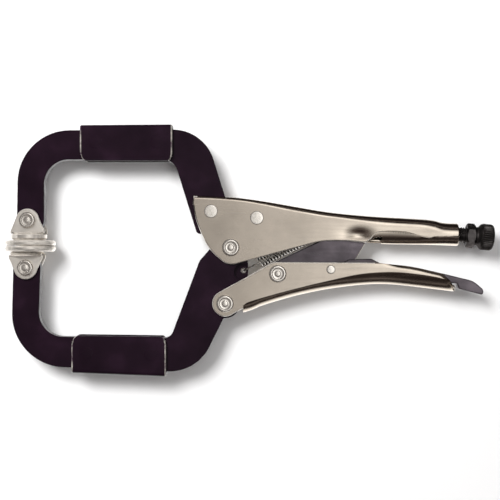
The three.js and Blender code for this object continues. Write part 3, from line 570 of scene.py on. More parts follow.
def painted_edge_highlight(colours):
    """Painted highlight: a lighter grey metal on the sleeves' end rims and the sleeve rivets' rims,
    standing in for the light these edges catch.
    """
    recipe = Recipe("painted_edge_highlight", 0.3)
    base = tuple(colours.bright)
    recipe.colours(
        recipe.noise(240, 4, roughness=0.6),
        [(0.36, shade(tuple(colours.coat), 6)), (0.5, shade(base, 0.4)), (0.68, shade(base, 0.75))],
    )
    recipe.roughness(recipe.ramp(recipe.noise(320, 3), 0.4, 0.6))
    recipe.bump((recipe.noise(700, 3), 0.00004))
    return recipe.material


def painted_rim_highlight(colours):
    """Painted highlight on the ground free edges: a brighter metal that stands in for the light these
    rims catch.
    """
    recipe = Recipe("painted_rim_highlight", 0.45)
    base = tuple(colours.bright)
    recipe.colours(
        recipe.noise(200, 4, roughness=0.6),
        [(0.32, shade(base, 0.62)), (0.5, shade(base, 0.95)), (0.68, shade(base, 1.15))],
    )
    recipe.roughness(recipe.ramp(recipe.noise(380, 3), 0.3, 0.48))
    recipe.bump((recipe.noise(700, 3), 0.00003))
    return recipe.material


def pad_nickel(colours):
    recipe = Recipe("pad_nickel", 0.8)
    base = tuple(colours.bright)
    recipe.colours(
        recipe.noise(130, 5),
        [(0.3, shade(base, 0.84)), (0.5, base), (0.7, shade(base, 1.08))],
    )
    recipe.roughness(recipe.ramp(recipe.noise(260, 4), 0.34, 0.5))
    recipe.bump((recipe.noise(420, 3), 0.00006))
    return recipe.material


def spring_steel(colours):
    recipe = Recipe("spring_steel", 1.0)
    base = shade(tuple(colours.bright), 0.55)
    recipe.colours(
        recipe.noise(240, 4),
        [(0.3, shade(base, 0.4)), (0.5, base), (0.7, shade(base, 1.3))],
    )
    recipe.roughness(recipe.ramp(recipe.noise(420, 3), 0.18, 0.32))
    recipe.bump((recipe.noise(900, 2), 0.00002))
    return recipe.material


FINISHES = {
    "painted_edge_highlight": painted_edge_highlight,
    "painted_rim_highlight": painted_rim_highlight,
    "pad_nickel": pad_nickel,
    "spring_steel": spring_steel,
    "black_coat": black_coat,
    "satin_nickel": satin_nickel,
    "bright_nickel": bright_nickel,
    "black_oxide": black_oxide,
    "dark_steel": dark_steel,
}


def finish(context, name):
    """The material of a slot, made once."""
    found = bpy.data.materials.get(f"finish {name}")
    return found or FINISHES[name](context.scene.pliers_colours)


# ------------------------------------------------------------------ jaws and sleeves
def leg_outer(y):
    return LEG_FOOT - y * math.tan(LEG_LEAN)


def leg_inner(y):
    return leg_outer(y) - LEG_WIDTH / math.cos(LEG_LEAN)


UPPER_BAR_OUTER = line_through(
    (-THROAT_DEPTH - ARM_WIDTH + ARM_LEAN, THROAT_RISE + BAR_WIDTH - UPPER_BAR_FALL),
    (leg_outer(THROAT_RISE + BAR_WIDTH), THROAT_RISE + BAR_WIDTH),
)
LOWER_BAR_INNER = line_through(LOWER_FRONT_INNER, LOWER_REAR_INNER)
LOWER_BAR_OUTER = line_through(LOWER_FRONT_OUTER, LOWER_REAR_OUTER)


def upper_jaw_outline():
    arm_inner = -THROAT_DEPTH
    arm_outer = arm_inner - ARM_WIDTH
    arm_end = UPPER_PAD[1] - 7.9
    bar_outer = THROAT_RISE + BAR_WIDTH
    foot = EYE_RADIUS - 1.3
    under = EYE_RADIUS + 1.6
    tail_end = CHEEK_RIVETS[1][0] + 7.8
    tail_top = CHEEK_RIVETS[0][1] + 5
    return outline([
        (leg_outer(tail_top), tail_top, 1.5),
        (tail_end, tail_top - 3.2, 4),
        (tail_end, under, 4),
        (-6, under, 1),
        (-8.5, foot, 1),
        (leg_inner(foot), foot, 2.5),
        (leg_inner(THROAT_RISE), THROAT_RISE, 9),
        (arm_inner, THROAT_RISE, 15),
        (arm_inner, arm_end, ARM_WIDTH / 2 - 0.05),
        (arm_outer, arm_end, ARM_WIDTH / 2 - 0.05),
        (arm_outer + ARM_LEAN, bar_outer - UPPER_BAR_FALL, 34.5),
        (leg_outer(bar_outer), bar_outer, 26),
    ])


def arc(centre, radius, start, end, count=20):
    """Points on an arc, with its angles in degrees."""
    return [
        (centre[0] + radius * math.cos(a), centre[1] + radius * math.sin(a))
        for a in (math.radians(lerp(start, end, k / count)) for k in range(count + 1))
    ]


def lower_jaw_outline():
    arm_end = LOWER_PAD[1] + 7.9
    middle = LOWER_PAD[0] + 0.6
    radius = ARM_WIDTH / 2 - 0.1
    eye = arc((0, 0), EYE_RADIUS, 156, 8)
    boss = arc(HANDLE_PIVOT, BOSS_RADIUS, 30, -96)
    return outline([
        (middle - ARM_WIDTH / 2, arm_end, radius),
        (middle + ARM_WIDTH / 2, arm_end, radius),
        (*LOWER_FRONT_INNER, 15),
        (*LOWER_REAR_INNER, 6),
        (-EYE_RADIUS * 2, -8.1, 8),
        *eye,
        (10.4, -EYE_RADIUS, 1.5),
        (10.4, -22.1, 3),
        *boss,
        (*LOWER_REAR_OUTER, 27),
        (*LOWER_FRONT_OUTER, 32.5),
    ])


SLEEVE_CORNERS = (3.4, 2.2)  # front and rear corners of the flanges
SLEEVE_BEND = 2.2
SLEEVE_END_RIM = 0.8


def sleeve_sections(ends, free, bar_edge, outward):
    """Outer lines of a folded channel over a bar, one at each place along it."""
    front, rear = ends[0] + SLEEVE_END_RIM, ends[1] - SLEEVE_END_RIM
    half = JAW_HALF + GAP + SLEEVE_SHEET
    front_corner, rear_corner = SLEEVE_CORNERS
    angles = [math.radians(a) for a in range(0, 91, 9)]
    places = [front + front_corner * (1 - math.cos(a)) for a in angles]
    places += [lerp(front + front_corner, rear - rear_corner, k / 12) for k in range(1, 12)]
    places += [rear - rear_corner * (1 - math.cos(a)) for a in reversed(angles)]
    sections = []
    for x in places:
        corner, beside = front_corner, x - front
        if rear - x < beside:
            corner, beside = rear_corner, rear - x
        lift = corner - math.sqrt(max(0.0, corner ** 2 - max(0.0, corner - beside) ** 2))
        web = bar_edge(x) + outward * (GAP + SLEEVE_SHEET - 0.08)
        edge = free(x) + outward * lift
        bend = web - outward * SLEEVE_BEND
        line = [Vector((x, lerp(edge, bend, k / 8), half)) for k in range(9)]
        for a in range(10, 91, 10):
            spoke = math.radians(a)
            y = bend + outward * SLEEVE_BEND * math.sin(spoke)
            line.append(Vector((x, y, half - SLEEVE_BEND * (1 - math.cos(spoke)))))
        line += [Vector((p.x, p.y, -p.z)) for p in reversed(line)]
        if outward < 0:
            line.reverse()
        sections.append(line)
    return sections


def sleeve_rivet_spots(ends, middle):
    places = (ends[0] + SLEEVE_RIVET_INSET[0], ends[1] - SLEEVE_RIVET_INSET[1])
    return [(x, middle(x)) for x in places]


# ------------------------------------------------------------------ handles
HANDLE_TOP = spline([
    (-26, 32.1),
    (0, 30.7),
    (20, 28.2),
    (40, 24.8),
    (60, 21.5),
    (82.6, 19.31),
    (109.7, 17.74),
    (HANDLE_LENGTH - 16, TUBE_CENTRE_Y + 8.9),
    (HANDLE_LENGTH - 8.7, TUBE_CENTRE_Y + 7.3),
    (HANDLE_LENGTH, TUBE_CENTRE_Y + TUBE_RADIUS),
    (HANDLE_LENGTH + 4, TUBE_CENTRE_Y + TUBE_RADIUS),
])
HANDLE_UNDER = spline([
    (TUBE_START - 6, 3.4),
    (TUBE_START, 2.9),
    (TUBE_START + 10, 2.2),
    (HANDLE_LENGTH - 20, 1.7),
    (HANDLE_LENGTH, TUBE_CENTRE_Y - TUBE_RADIUS),
    (HANDLE_LENGTH + 4, TUBE_CENTRE_Y - TUBE_RADIUS),
])
SEAM = spline([
    (TUBE_START - 2, 3.2),
    (TUBE_START + 1, 3.3),
    (TUBE_START + 4, 5.2),
    (TUBE_START + 6.6, 8.2),
    (TUBE_START + 10.5, 9.6),
    (TUBE_START + 24, 9.2),
    (HANDLE_LENGTH - 19, 5.9),
    (HANDLE_LENGTH - 12, 6.6),
    (HANDLE_LENGTH + 5, 6.4),
])


def cheek_lower_edge():
    """The upper handle's free edge, from its front top corner back to the tube."""
    points = outline([
        (-22.6, 60),
        (-22.9, 19, 50),
        (-13.5, -1.5, 30),
        (-1.73, -11.25, 10),
        (55, 4.1, 45),
        (72, 4.2, 30),
        (TUBE_START, 3.3),
        (HANDLE_LENGTH, 3),
        (HANDLE_LENGTH, 60),
    ])
    start = min(range(len(points)), key=lambda i: (points[i] - Vector((-22.6, 60))).length)
    points = points[start:] + points[:start]
    run = [p for p in points if p.x <= TUBE_START + 0.01 and p.y < 59]
    run = [p for p in run if p.y < 26]
    run.insert(0, Vector((-22.8, 26)))
    return resample(run, 1.1)


CHEEK_STEPS = 12
BEND_STEPS = 10
WEB_POINTS = 3
NOTCH_STEP = 7  # the notch for the upper jaw takes the bend beyond this step
NEAR_STRIP = CHEEK_STEPS + 1 + NOTCH_STEP
FAR_STRIP = CHEEK_STEPS + 1 + 2 * BEND_STEPS + WEB_POINTS - NOTCH_STEP
SLOT_END = 92.2  # the link swings in a slot in the rolled flange up to here
SLOT_SIDE = 3.5
NEAR_FLANGE_START = 83.2
DIMPLE_SPOT = (77.5, 7.5)
DIMPLE_REACH = (7.0, 3.6)
DIMPLE_DEPTH = 1.5


def upper_path(x, lower_y, edge_x, closed=True):
    """The outer line of the upper handle's sheet at one place, near edge to far edge. Where it
    is not closed, the rolled flange stops short of the link's slot."""
    top = HANDLE_TOP(x)
    tube = smoothstep(x, HANDLE_LENGTH - 26, HANDLE_LENGTH - 5)
    curl = smoothstep(x, TUBE_START - 1, TUBE_START + 9)
    half = lerp(CHEEK_OUTER, TUBE_RADIUS, tube)
    bend = 2.4 + 1.2 * smoothstep(x, 5, 40) + 1.6 * smoothstep(x, 62, 100)
    bend = lerp(bend, TUBE_RADIUS - 0.02, tube)
    near_y = lower_y if x < TUBE_START else SEAM(x)
    shoulder = top - bend
    flat = half - bend
    line = []
    for k in range(CHEEK_STEPS + 1):
        t = k / CHEEK_STEPS
        line.append(Vector((lerp(edge_x, x, t), lerp(near_y, shoulder, t), half)))
    bent = []
    for k in range(1, BEND_STEPS + 1):
        spoke = math.pi / 2 * k / BEND_STEPS
        y = shoulder + bend * math.sin(spoke)
        bent.append(Vector((x, y, flat + bend * math.cos(spoke))))
    line += bent
    line += [Vector((x, top, flat * (1 - 2 * t))) for t in (0.25, 0.5, 0.75)]
    line += [Vector((p.x, p.y, -p.z)) for p in reversed(bent)]
    line += far_wrap(x, shoulder, half, curl, tube, lower_y, edge_x, near_y, closed)
    return [dimpled(p) for p in line]


def far_wrap(x, shoulder, half, curl, tube, lower_y, edge_x, near_y, closed):
    """The far cheek, and behind it the flange that rolls under to the near side."""
    count = 36
    if x < TUBE_START - 1:
        return [
            Vector((lerp(x, edge_x, k / count), lerp(shoulder, lower_y, k / count), -half))
            for k in range(count + 1)
        ]
    full = rolled(x, shoulder, half, tube, near_y)
    total = sum((b - a).length for a, b in zip(full, full[1:]))
    reach = lerp(shoulder - HANDLE_UNDER(x), total, curl)
    cut_line, run = [full[0]], 0.0
    for a, b in zip(full, full[1:]):
        step = (b - a).length
        part = (reach - run) / step
        if not closed and b.z > -SLOT_SIDE:
            part = min(part, (-SLOT_SIDE - a.z) / (b.z - a.z))
        if part <= 1:
            part = max(part, 0.0)
            cut_line.append(a.lerp(b, part))
            run += step * part
            break
        cut_line.append(b)
        run += step
    return resample(cut_line, run / count)


def rolled(x, shoulder, half, tube, near_y):
    """The whole way of the rolled flange at one place, from the far shoulder to its tip."""
    bottom = HANDLE_UNDER(x)
    narrowing = smoothstep(x, HANDLE_LENGTH - 24, HANDLE_LENGTH - 12)
    roll = lerp(4.6, TUBE_RADIUS - 0.05, tube)
    near = half - lerp(2.4, 0.0, narrowing)
    tip = max(near_y + lerp(1.2, -0.5, narrowing), bottom + roll + 0.05)
    height = lerp(tip - bottom, roll, tube)
    full = [Vector((x, shoulder, -half))]
    angles = [math.radians(a) for a in range(0, 91, 6)]
    for a in angles:
        y = bottom + roll * (1 - math.sin(a))
        full.append(Vector((x, y, -half + roll * (1 - math.cos(a)))))
    for a in angles:
        y = bottom + height * (1 - math.cos(a))
        full.append(Vector((x, y, near - roll * (1 - math.sin(a)))))
    full.append(Vector((x, tip, near)))
    return [p for i, p in enumerate(full) if i == 0 or (p - full[i - 1]).length > 1e-6]


def near_flange():
    """The thinned tip of the rolled flange on the near side of the link's slot."""
    sections = []
    x = NEAR_FLANGE_START
    while x < SLOT_END + 0.01:
        shoulder = HANDLE_TOP(x) - 5
        line = [p for p in rolled(x, shoulder, CHEEK_OUTER, 0.0, SEAM(x)) if p.z > SLOT_SIDE - 0.2]
        length = sum((b - a).length for a, b in zip(line, line[1:]))
        sections.append(resample(line, length / 10))
        x += (SLOT_END - NEAR_FLANGE_START) / 9
    return folded(sections, 0.55, 0.15, 0.15, ground=(True, False))


def dimpled(point):
    """The cheeks dip inwards where they start to roll into the tube."""
    x, y = DIMPLE_SPOT
    away = ((point.x - x) / DIMPLE_REACH[0]) ** 2 + ((point.y - y) / DIMPLE_REACH[1]) ** 2
    depth = DIMPLE_DEPTH * math.exp(-away)
    if point.y > 1.5 and abs(point.z) > 4.5:
        point.z -= math.copysign(depth, point.z)
    return point


def upper_handle_mesh():
    edge_points = cheek_lower_edge()
    corner = next(i for i, p in enumerate(edge_points) if p.x > -1.7)
    sections = []
    for i, p in enumerate(edge_points):
        x = lerp(-22.3, p.x, i / corner) if i < corner else p.x
        sections.append(upper_path(x, p.y, p.x, closed=False))
    x = TUBE_START + 0.8
    while x < SLOT_END - 0.5:
        sections.append(upper_path(x, SEAM(x), x, closed=False))
        x += 1.1
    sections.append(upper_path(SLOT_END, SEAM(SLOT_END), SLOT_END, closed=False))
    tube = []
    x = SLOT_END
    while x < HANDLE_LENGTH - 1:
        tube.append(upper_path(x, SEAM(x), x))
        x += 1.1
    x = HANDLE_LENGTH - HANDLE_END_RIM
    tube.append(upper_path(x, SEAM(x), x))
    notch = next(i for i, line in enumerate(sections) if line[0].x > leg_outer(HANDLE_TOP(0)) + 2.4)
    near = [line[:NEAR_STRIP] for line in sections[:notch + 1]]
    far = [line[FAR_STRIP:] for line in sections[:notch + 1]]
    return joined(
        folded(sections[notch:], SHEET, SHEET_RIM, HANDLE_END_RIM, ground=(False, False)),
        folded(tube, SHEET, SHEET_RIM, HANDLE_END_RIM, ground=(False, True)),
        near_flange(),
        folded(near, SHEET, SHEET_RIM, HANDLE_END_RIM, ground=(True, False)),
        folded(far, SHEET, SHEET_RIM, HANDLE_END_RIM, ground=(True, False)),
        spring_tab(),
    )


LOWER_WEB = spline([
    (-30, -50),
    (8, -39.7),
    (20, -35.2),
    (40, -29.4),
    (60, -25.3),
    (80, -22.8),
    (95, -22.4),
    (LOWER_REACH - 26, -23.7),
    (LOWER_REACH, -26.9),
    (LOWER_REACH + 6, -27.7),
])
CREASE = spline([
    (-2, -40),
    (7, -35.4),
    (10, -33.4),
    (20, -30.2),
    (40, -24.8),
    (60, -20.0),
    (80, -15.9),
    (100, -14.9),
    (120, -17.0),
    (LOWER_REACH, -20.2),
])


def spring_way():
    run = Vector(LINK_SEAT) - Vector(LINK_PIVOT)
    return math.atan2(run.y, run.x) - math.radians(1.5)


def spring_anchor():
    angle = spring_way()
    way = Vector((math.cos(angle), math.sin(angle)))
    return Vector(SPRING_HOOK) + way * SPRING_SPAN


def spring_tab():
    """The tab under the upper handle's web that holds the spring's rear hook."""
    x, y = spring_anchor()
    tab = plate(outline([
        (x - 2.6, y - 2.4, 0.8), (x + 3.6, y - 2.4, 0.8),
        (x + 5, HANDLE_TOP(x + 5) - SHEET / 2), (x - 2.6, HANDLE_TOP(x - 2.6) - SHEET / 2),
    ]), -1.2, 1.2, edge=0.25)
    return cut(tab, plate(circle((x, y), HOOK_HOLE), -4, 4, edge=CUT_EDGE))


def lower_top_edge():
    """The lower handle's free edge, from the web's start back to its rear end."""
    lean = (-math.sin(LOWER_EDGE_LEAN), math.cos(LOWER_EDGE_LEAN))
    near = (HANDLE_PIVOT[0] + lean[0] * 7.6, HANDLE_PIVOT[1] + lean[1] * 7.6)
    rise = (-8.9 - near[1]) / math.tan(LOWER_EDGE_LEAN)
    end = LOWER_REACH
    points = outline([
        near,
        (near[0] + rise, -8.9, 9),
        (92, -9.3, 60),
        (end - 26, -11.1, 70),
        (end - 7.4, -15.5, 3),
        (end - 2.2, -20.5, 6),
        (end, -25.6, 2),
        (end - 2, -60),
        near[:1] + (-60,),
    ])
    start = min(range(len(points)), key=lambda i: (points[i] - Vector(near)).length)
    points = (points[start:] + points[:start])[::-1]
    points = [points[-1]] + points[:-1]
    run = []
    for p in points:
        run.append(p)
        if p.x > end - 5 and p.y < LOWER_WEB(p.x) + 4.4:
            break
    run = resample(run, 0.2)
    first = next(i for i, p in enumerate(run) if p.x >= WEB_START)
    run = run[first:]
    run[0].x = WEB_START
    edge = resample(run, 1.15)
    for p in edge:
        if p.x > end - 5:
            p.y = max(p.y, LOWER_WEB(p.x) + LOWER_END_HEIGHT)
    return edge


def lower_path(x, top_y, edge_x):
    """The outer line of the lower handle's sheet at one place, far edge to near edge."""
    web = LOWER_WEB(x)
    crease = max(CREASE(x), web + 1.5)
    crease = min(crease, top_y - 0.6)
    curl = 1.5 * smoothstep(x, 86, 106)
    line = []
    count = 10
    for k in range(count + 1):
        t = k / count
        y = lerp(top_y, crease, t)
        z = CHEEK_OUTER - curl * max(0.0, 1 - (top_y - y) / 3.6) ** 2
        line.append(Vector((lerp(edge_x, x, t), y, z)))
    for a in range(5, 91, 5):
        spoke = math.radians(a)
        y = crease - (crease - web) * math.sin(spoke) ** 1.7
        line.append(Vector((x, y, CHEEK_OUTER * max(0.0, math.cos(spoke)) ** 0.95)))
    return [Vector((p.x, p.y, -p.z)) for p in line[:-1]] + line[::-1]


def lower_handle_mesh():
    sections = []
    run = lower_top_edge()
    for p in run:
        sections.append(lower_path(p.x, p.y, p.x))
    channel = folded(sections, SHEET, SHEET_RIM, HANDLE_END_RIM, ground=(False, True))
    top = run[0]
    web = LOWER_WEB(WEB_START)
    crease = max(CREASE(WEB_START), web + 1.5)
    lobe = arc(HANDLE_PIVOT, LOBE_RADIUS, 119.6, 300)
    points = outline([(top.x, top.y), *lobe, (3.6, -39.0), (WEB_START, crease - 2.0)])
    square = lambda p: p.x > WEB_START - 0.01
    cheeks = [
        plate(
            points, *sorted((side * CHEEK_INNER, side * CHEEK_OUTER)),
            edge=SHEET_RIM, keep=square, rim=GROUND,
        )
        for side in (-1, 1)
    ]
    return joined(channel, *cheeks)


# ------------------------------------------------------------------ rivets
def rivet_mesh(seat, radius, rise, dish):
    """Two equal heads on one shank; the dish is a ring hollow round a low middle."""
    base = seat + 0.05
    head = [
        (radius - 0.15, base, 0.1),
        (radius, base + 0.3, 0.3),
        (radius * 0.97, base + rise * 0.72, 0.5),
        (radius * 0.86, base + rise * 0.97, 0.4),
        (radius * 0.68, base + rise, 0.3),
    ]
    if dish:
        head += [
            (radius * 0.6, base + rise * 0.8, 0.2),
            (radius * 0.38, base + rise * 0.76, 0.3),
            (radius * 0.26, base + rise * 0.9, 0.3),
        ]
    top_height = base + rise * (0.93 if dish else 1.06)
    upper = soft_profile([(radius * 0.7, base - 1.2), *head, (0, top_height)])
    lower = [Vector((p.x, -p.y)) for p in reversed(upper)]
    return turned(lower + upper)


def flush_rivet_mesh(radius, face, crown):
    """A low crowned disc at each face, with a ground rim."""
    upper = soft_profile([
        (radius * 0.8, face - 1.5),
        (radius, face - 0.4, 0.1),
        (radius, face + 0.03),
        (radius - 0.35, face + crown * 0.85, 0.15),
        (radius * 0.6, face + crown, 0.8),
        (0, face + crown + 0.03),
    ])
    lower = [Vector((p.x, -p.y)) for p in reversed(upper)]
    return turned(lower + upper)


# ------------------------------------------------------------------ pads
def pad_mesh(spot, height, ring, flip):
    """A swivel pad about its pivot, with its face at -height before any flip."""
    face = -height
    ring_top = face + ring
    back = face + 3.3
    offset = PAD_CENTRE_X - spot[0]
    disk = turned(soft_profile([
        (0, face), (14.6, face, 0.4), (15.3, face + 0.6, 0.6), (15.3, back - 0.9, 0.9),
        (13.9, back, 0.5), (0, back),
    ]))
    disk.transform(Matrix.Translation((offset, 0, 0)) @ TO_Y)
    hub = turned(soft_profile([
        (0, face + 1), (9.7, face + 1), (9.7, back + 0.3, 0.2), (10.0, back + 0.8, 0.3),
        (10.8, back + 1.1, 0.4), (10.8, ring_top - 1.4, 0.4), (10.1, ring_top - 1.1, 0.2),
        (10.1, ring_top - 0.7, 0.2), (10.8, ring_top - 0.4, 0.3),
        (10.5, ring_top, 0.3), (0, ring_top),
    ]))
    hub.transform(TO_Y)
    ear = outline([
        (-10.4, ring_top - 0.9, 0.6),
        (10.4, ring_top - 0.9, 0.6),
        (10.2, ring_top + 1.0, 2),
        *arc((0, 0), 7.1, 14, 166),
        (-10.2, ring_top + 1.0, 2),
    ])
    ears = [plate(ear, *sorted((side * CHEEK_INNER, side * CHEEK_OUTER)), edge=0.9) for side in (-1, 1)]
    opening = outline([(-30, -8.6), (30, -8.6), (30, 30), (-30, 30)])
    slot = plate(opening, -CHEEK_INNER, CHEEK_INNER, edge=CUT_EDGE)
    mesh = joined(disk, cut(hub, slot), *ears)
    if flip:
        mesh.transform(Matrix.Scale(-1, 4, (0, 1, 0)))
        mesh.flip_normals()
    return mesh


# ------------------------------------------------------------------ link, lever
def link_mesh():
    run = Vector(LINK_SEAT) - Vector(LINK_PIVOT)
    end = run.length
    bar = plate(outline([
        *arc((0, 0), 7.1, 90, 270, 24),
        (end - 31, -9.2, 3),
        (end - 25.2, -12, 2),
        (end - 17, -15.9, 1.5),
        (end - 6.4, -9.6, 16),
        (end + 4.6, -0.9, 3.2),
        (end + 1.8, 2.8, 2.6),
        (end - 26, 5.5, 20),
    ]), -LINK_HALF, LINK_HALF, edge=0.8)
    boss = plate(circle((0, 0), 6.3), -LINK_BOSS_HALF, LINK_BOSS_HALF, edge=0.3)
    return joined(bar, boss), math.atan2(run.y, run.x)


def lever_floor(x):
    return LOWER_WEB(x) + SHEET + 2.6


def lever_mesh():
    end = LOWER_REACH
    x, y = LEVER_PIN
    side = outline([
        (x - 5.6, y, 2), (x - 4, y + 4.6, 3),
        (x + 7, y + 4, 2),
        (x + 11.5, y + 6.1, 4),
        (x + 25, y + 6.5, 3),
        (x + 31.5, y + 3.2, 6),
        (end - 26, -12.4, 40),
        (end - 8, -15.6, 40),
        (end + 11.8, -20.4, 12),
        (end + 18.2, -25.8, 5),
        (end + 17.6, -29, 1.2),
        (end + 3, -25.2, 1),
        (end + 1.8, lever_floor(end) + 0.1, 1),
        (end - 16, lever_floor(end - 16), 40),
        (100, lever_floor(100), 40),
        (80, lever_floor(80), 40),
        (x + 4, y - 4.6, 2),
        (x - 3, y - 4.6, 2),
    ])
    body = plate(side, -LEVER_HALF, LEVER_HALF, edge=0.7)
    hollow = plate(outline([
        (x - 12, 5), (x - 12, -40), (x + 3, -40), (x + 3, lever_floor(80) + 1.1),
        (80, lever_floor(80) + 1.1, 40), (100, lever_floor(100) + 1.1, 40),
        (end - 16, lever_floor(end - 16) + 1.1, 40), (end + 1, lever_floor(end) + 1.3),
        (end + 8, -23.2), (end + 9, 5),
    ]), -LEVER_HOLLOW_HALF, LEVER_HOLLOW_HALF, edge=CUT_EDGE)
    bar = plate(outline([
        (x + 9.5, y + 0.2, 0.8), (x + 14.5, y + 0.2, 0.8),
        (x + 14.5, y + 1.8, 0.8), (x + 9.5, y + 1.8, 0.8),
    ]), -LEVER_BAR_HALF, LEVER_BAR_HALF, edge=0.2)
    return joined(cut(body, hollow), bar)


# ------------------------------------------------------------------ screw, nut, spring
THREAD_RADIUS = 4.7
THREAD_PITCH = 1.5
THREAD_DEPTH = 0.75
NUT_FLATS = 13.0
NUT_FROM = 5.2
NUT_TO = 10.4
KNOB_FROM = 10.7


def screw_mesh():
    """The screw about its own axis, as height beyond the tube's rear end."""
    tip = 90 - HANDLE_LENGTH
    per_turn = 48

    def thread(radius, angle, height):
        phase = (height / THREAD_PITCH - angle / (2 * math.pi)) % 1.0
        ridge = abs(phase - 0.5) * 2
        fade = smoothstep(height, tip, tip + 3)
        fade *= 1 - smoothstep(height, KNOB_FROM - 0.6, KNOB_FROM)
        shape = min(1.0, max(0.0, (ridge - 0.12) / 0.76))
        return radius - THREAD_DEPTH * (1 - shape) * max(fade, 0.0)

    profile = [(0.2, tip), (THREAD_RADIUS - 1.6, tip), (THREAD_RADIUS - 0.9, tip + 0.5)]
    height = tip + 1.4
    while height < KNOB_FROM:
        fine = height > -4
        profile.append((THREAD_RADIUS, height))
        height += THREAD_PITCH / 12 if fine else THREAD_PITCH / 6
    profile.append((THREAD_RADIUS - 1, KNOB_FROM + 0.2))
    rod = turned(profile, per_turn, thread)
    drum = KNOB_FROM + 3.4
    end = drum + 7.7
    teeth = 34

    def knurl(radius, angle, height):
        if drum + 0.5 < height < end - 1.3:
            wave = abs(((angle * teeth / (2 * math.pi)) % 1.0) - 0.5) * 2
            return radius - 0.5 * (1 - min(1.0, wave * 1.25))
        return radius

    knob = turned(soft_profile([
        (0, KNOB_FROM), (5.2, KNOB_FROM, 0.3), (5.6, KNOB_FROM + 0.4, 0.3),
        (5.6, KNOB_FROM + 1.6, 0.6),
        (7.6, drum - 0.3, 0.8), (7.75, drum + 0.45, 0.1), (8.0, drum + 0.9), (8.0, drum + 2.5),
        (8.0, drum + 4.5), (8.0, end - 1.7), (7.75, end - 1.2, 0.1), (7.4, end - 0.5, 0.5),
        (6.2, end, 0.4),
        (5.0, end - 0.1, 0.2), (4.4, end - 0.6, 0.3), (0, end - 0.6),
    ]), teeth * 8, knurl)
    return joined(rod, knob)


def nut_mesh():
    across = NUT_FLATS / 2

    def hexagon(radius, angle, height):
        if radius < across * 0.9:
            return radius
        turn = (angle + math.pi / 6) % (math.pi / 3) - math.pi / 6
        flat = across / math.cos(turn)
        beside = min(height - NUT_FROM, NUT_TO - height)
        cone = across + 0.02 + max(0.0, beside) * 1.5
        return min(flat, cone)

    heights = [NUT_FROM + rise for rise in (0, 0.15, 0.3, 0.5, 0.7, 1.0, 1.8, 2.6)]
    mirrored = [NUT_FROM + NUT_TO - h for h in reversed(heights)]
    profile = [(THREAD_RADIUS + 0.05, NUT_FROM + 0.3), (THREAD_RADIUS + 0.5, NUT_FROM)]
    profile += [(across, h) for h in heights + mirrored[1:]]
    profile += [(THREAD_RADIUS + 0.5, NUT_TO), (THREAD_RADIUS + 0.05, NUT_TO - 0.3)]
    return turned(profile, 96, hexagon)


def spring_line():
    """The wire's middle line, drawn along +x from the front hook's hole."""
    hook = 2.3
    lead = 11.0
    mean = 2.65
    coil = SPRING_SPAN - 2 * lead
    turns = 23
    points = []
    for a in range(-80, 81, 10):
        spoke = math.radians(a)
        points.append(Vector((hook - hook * math.cos(spoke), 0, hook * math.sin(spoke))))
    points.append(Vector((lead - 3, 0, mean)))
    per_turn = 24
    for k in range(turns * per_turn + 1):
        spoke = 2 * math.pi * k / per_turn
        x = lead + coil * k / (turns * per_turn)
        points.append(Vector((x, mean * math.sin(spoke), mean * math.cos(spoke))))
    points.append(Vector((SPRING_SPAN - lead + 3, 0, mean)))
    for a in range(80, -81, -10):
        spoke = math.radians(a)
        x = SPRING_SPAN - hook + hook * math.cos(spoke)
        points.append(Vector((x, 0, hook * math.sin(spoke))))
    return points


def wire_mesh(points, radius, sides=10):
    """A wire swept along points, turned as little as possible from ring to ring."""
    rings = []
    side = Vector((0, 1, 0))
    last = len(points) - 1
    for i, p in enumerate(points):
        way = (points[min(i + 1, last)] - points[max(i - 1, 0)]).normalized()
        side = (side - way * side.dot(way)).normalized()
        up = way.cross(side)
        rings.append([
            p + (side * math.cos(a) + up * math.sin(a)) * radius
            for a in (2 * math.pi * k / sides for k in range(sides))
        ])
    return mesh_from(rings)


# ------------------------------------------------------------------ settings
class PliersSizes(bpy.types.PropertyGroup):
    """Sizes of the finished surfaces."""

    forged_edge: FloatProperty(
        name="Forged edge radius", description="Rounding along the edges of the two jaws",
        default=0.7 * MM, min=0.2 * MM, max=1.5 * MM, unit="LENGTH", precision=5,
    )
    jaw_thickness: FloatProperty(
        name="Jaw thickness", description="Thickness of the forged jaw plates",
        default=2 * JAW_HALF * MM, min=6 * MM, max=8.6 * MM, unit="LENGTH", precision=5,
    )
    rivet_radius: FloatProperty(
        name="Pivot rivet radius", description="Radius of the three large rivet heads",
        default=5.35 * MM, min=4 * MM, max=6 * MM, unit="LENGTH", precision=5,
    )
    spring_wire: FloatProperty(
        name="Spring wire", description="Thickness of the tension spring's wire",
        default=1.1 * MM, min=0.6 * MM, max=1.4 * MM, unit="LENGTH", precision=5,
    )
    camera_height: FloatProperty(
        name="Camera height", description="Height of the camera above the middle of the tool",
        default=0.7, min=0.3, max=2, unit="LENGTH",
    )


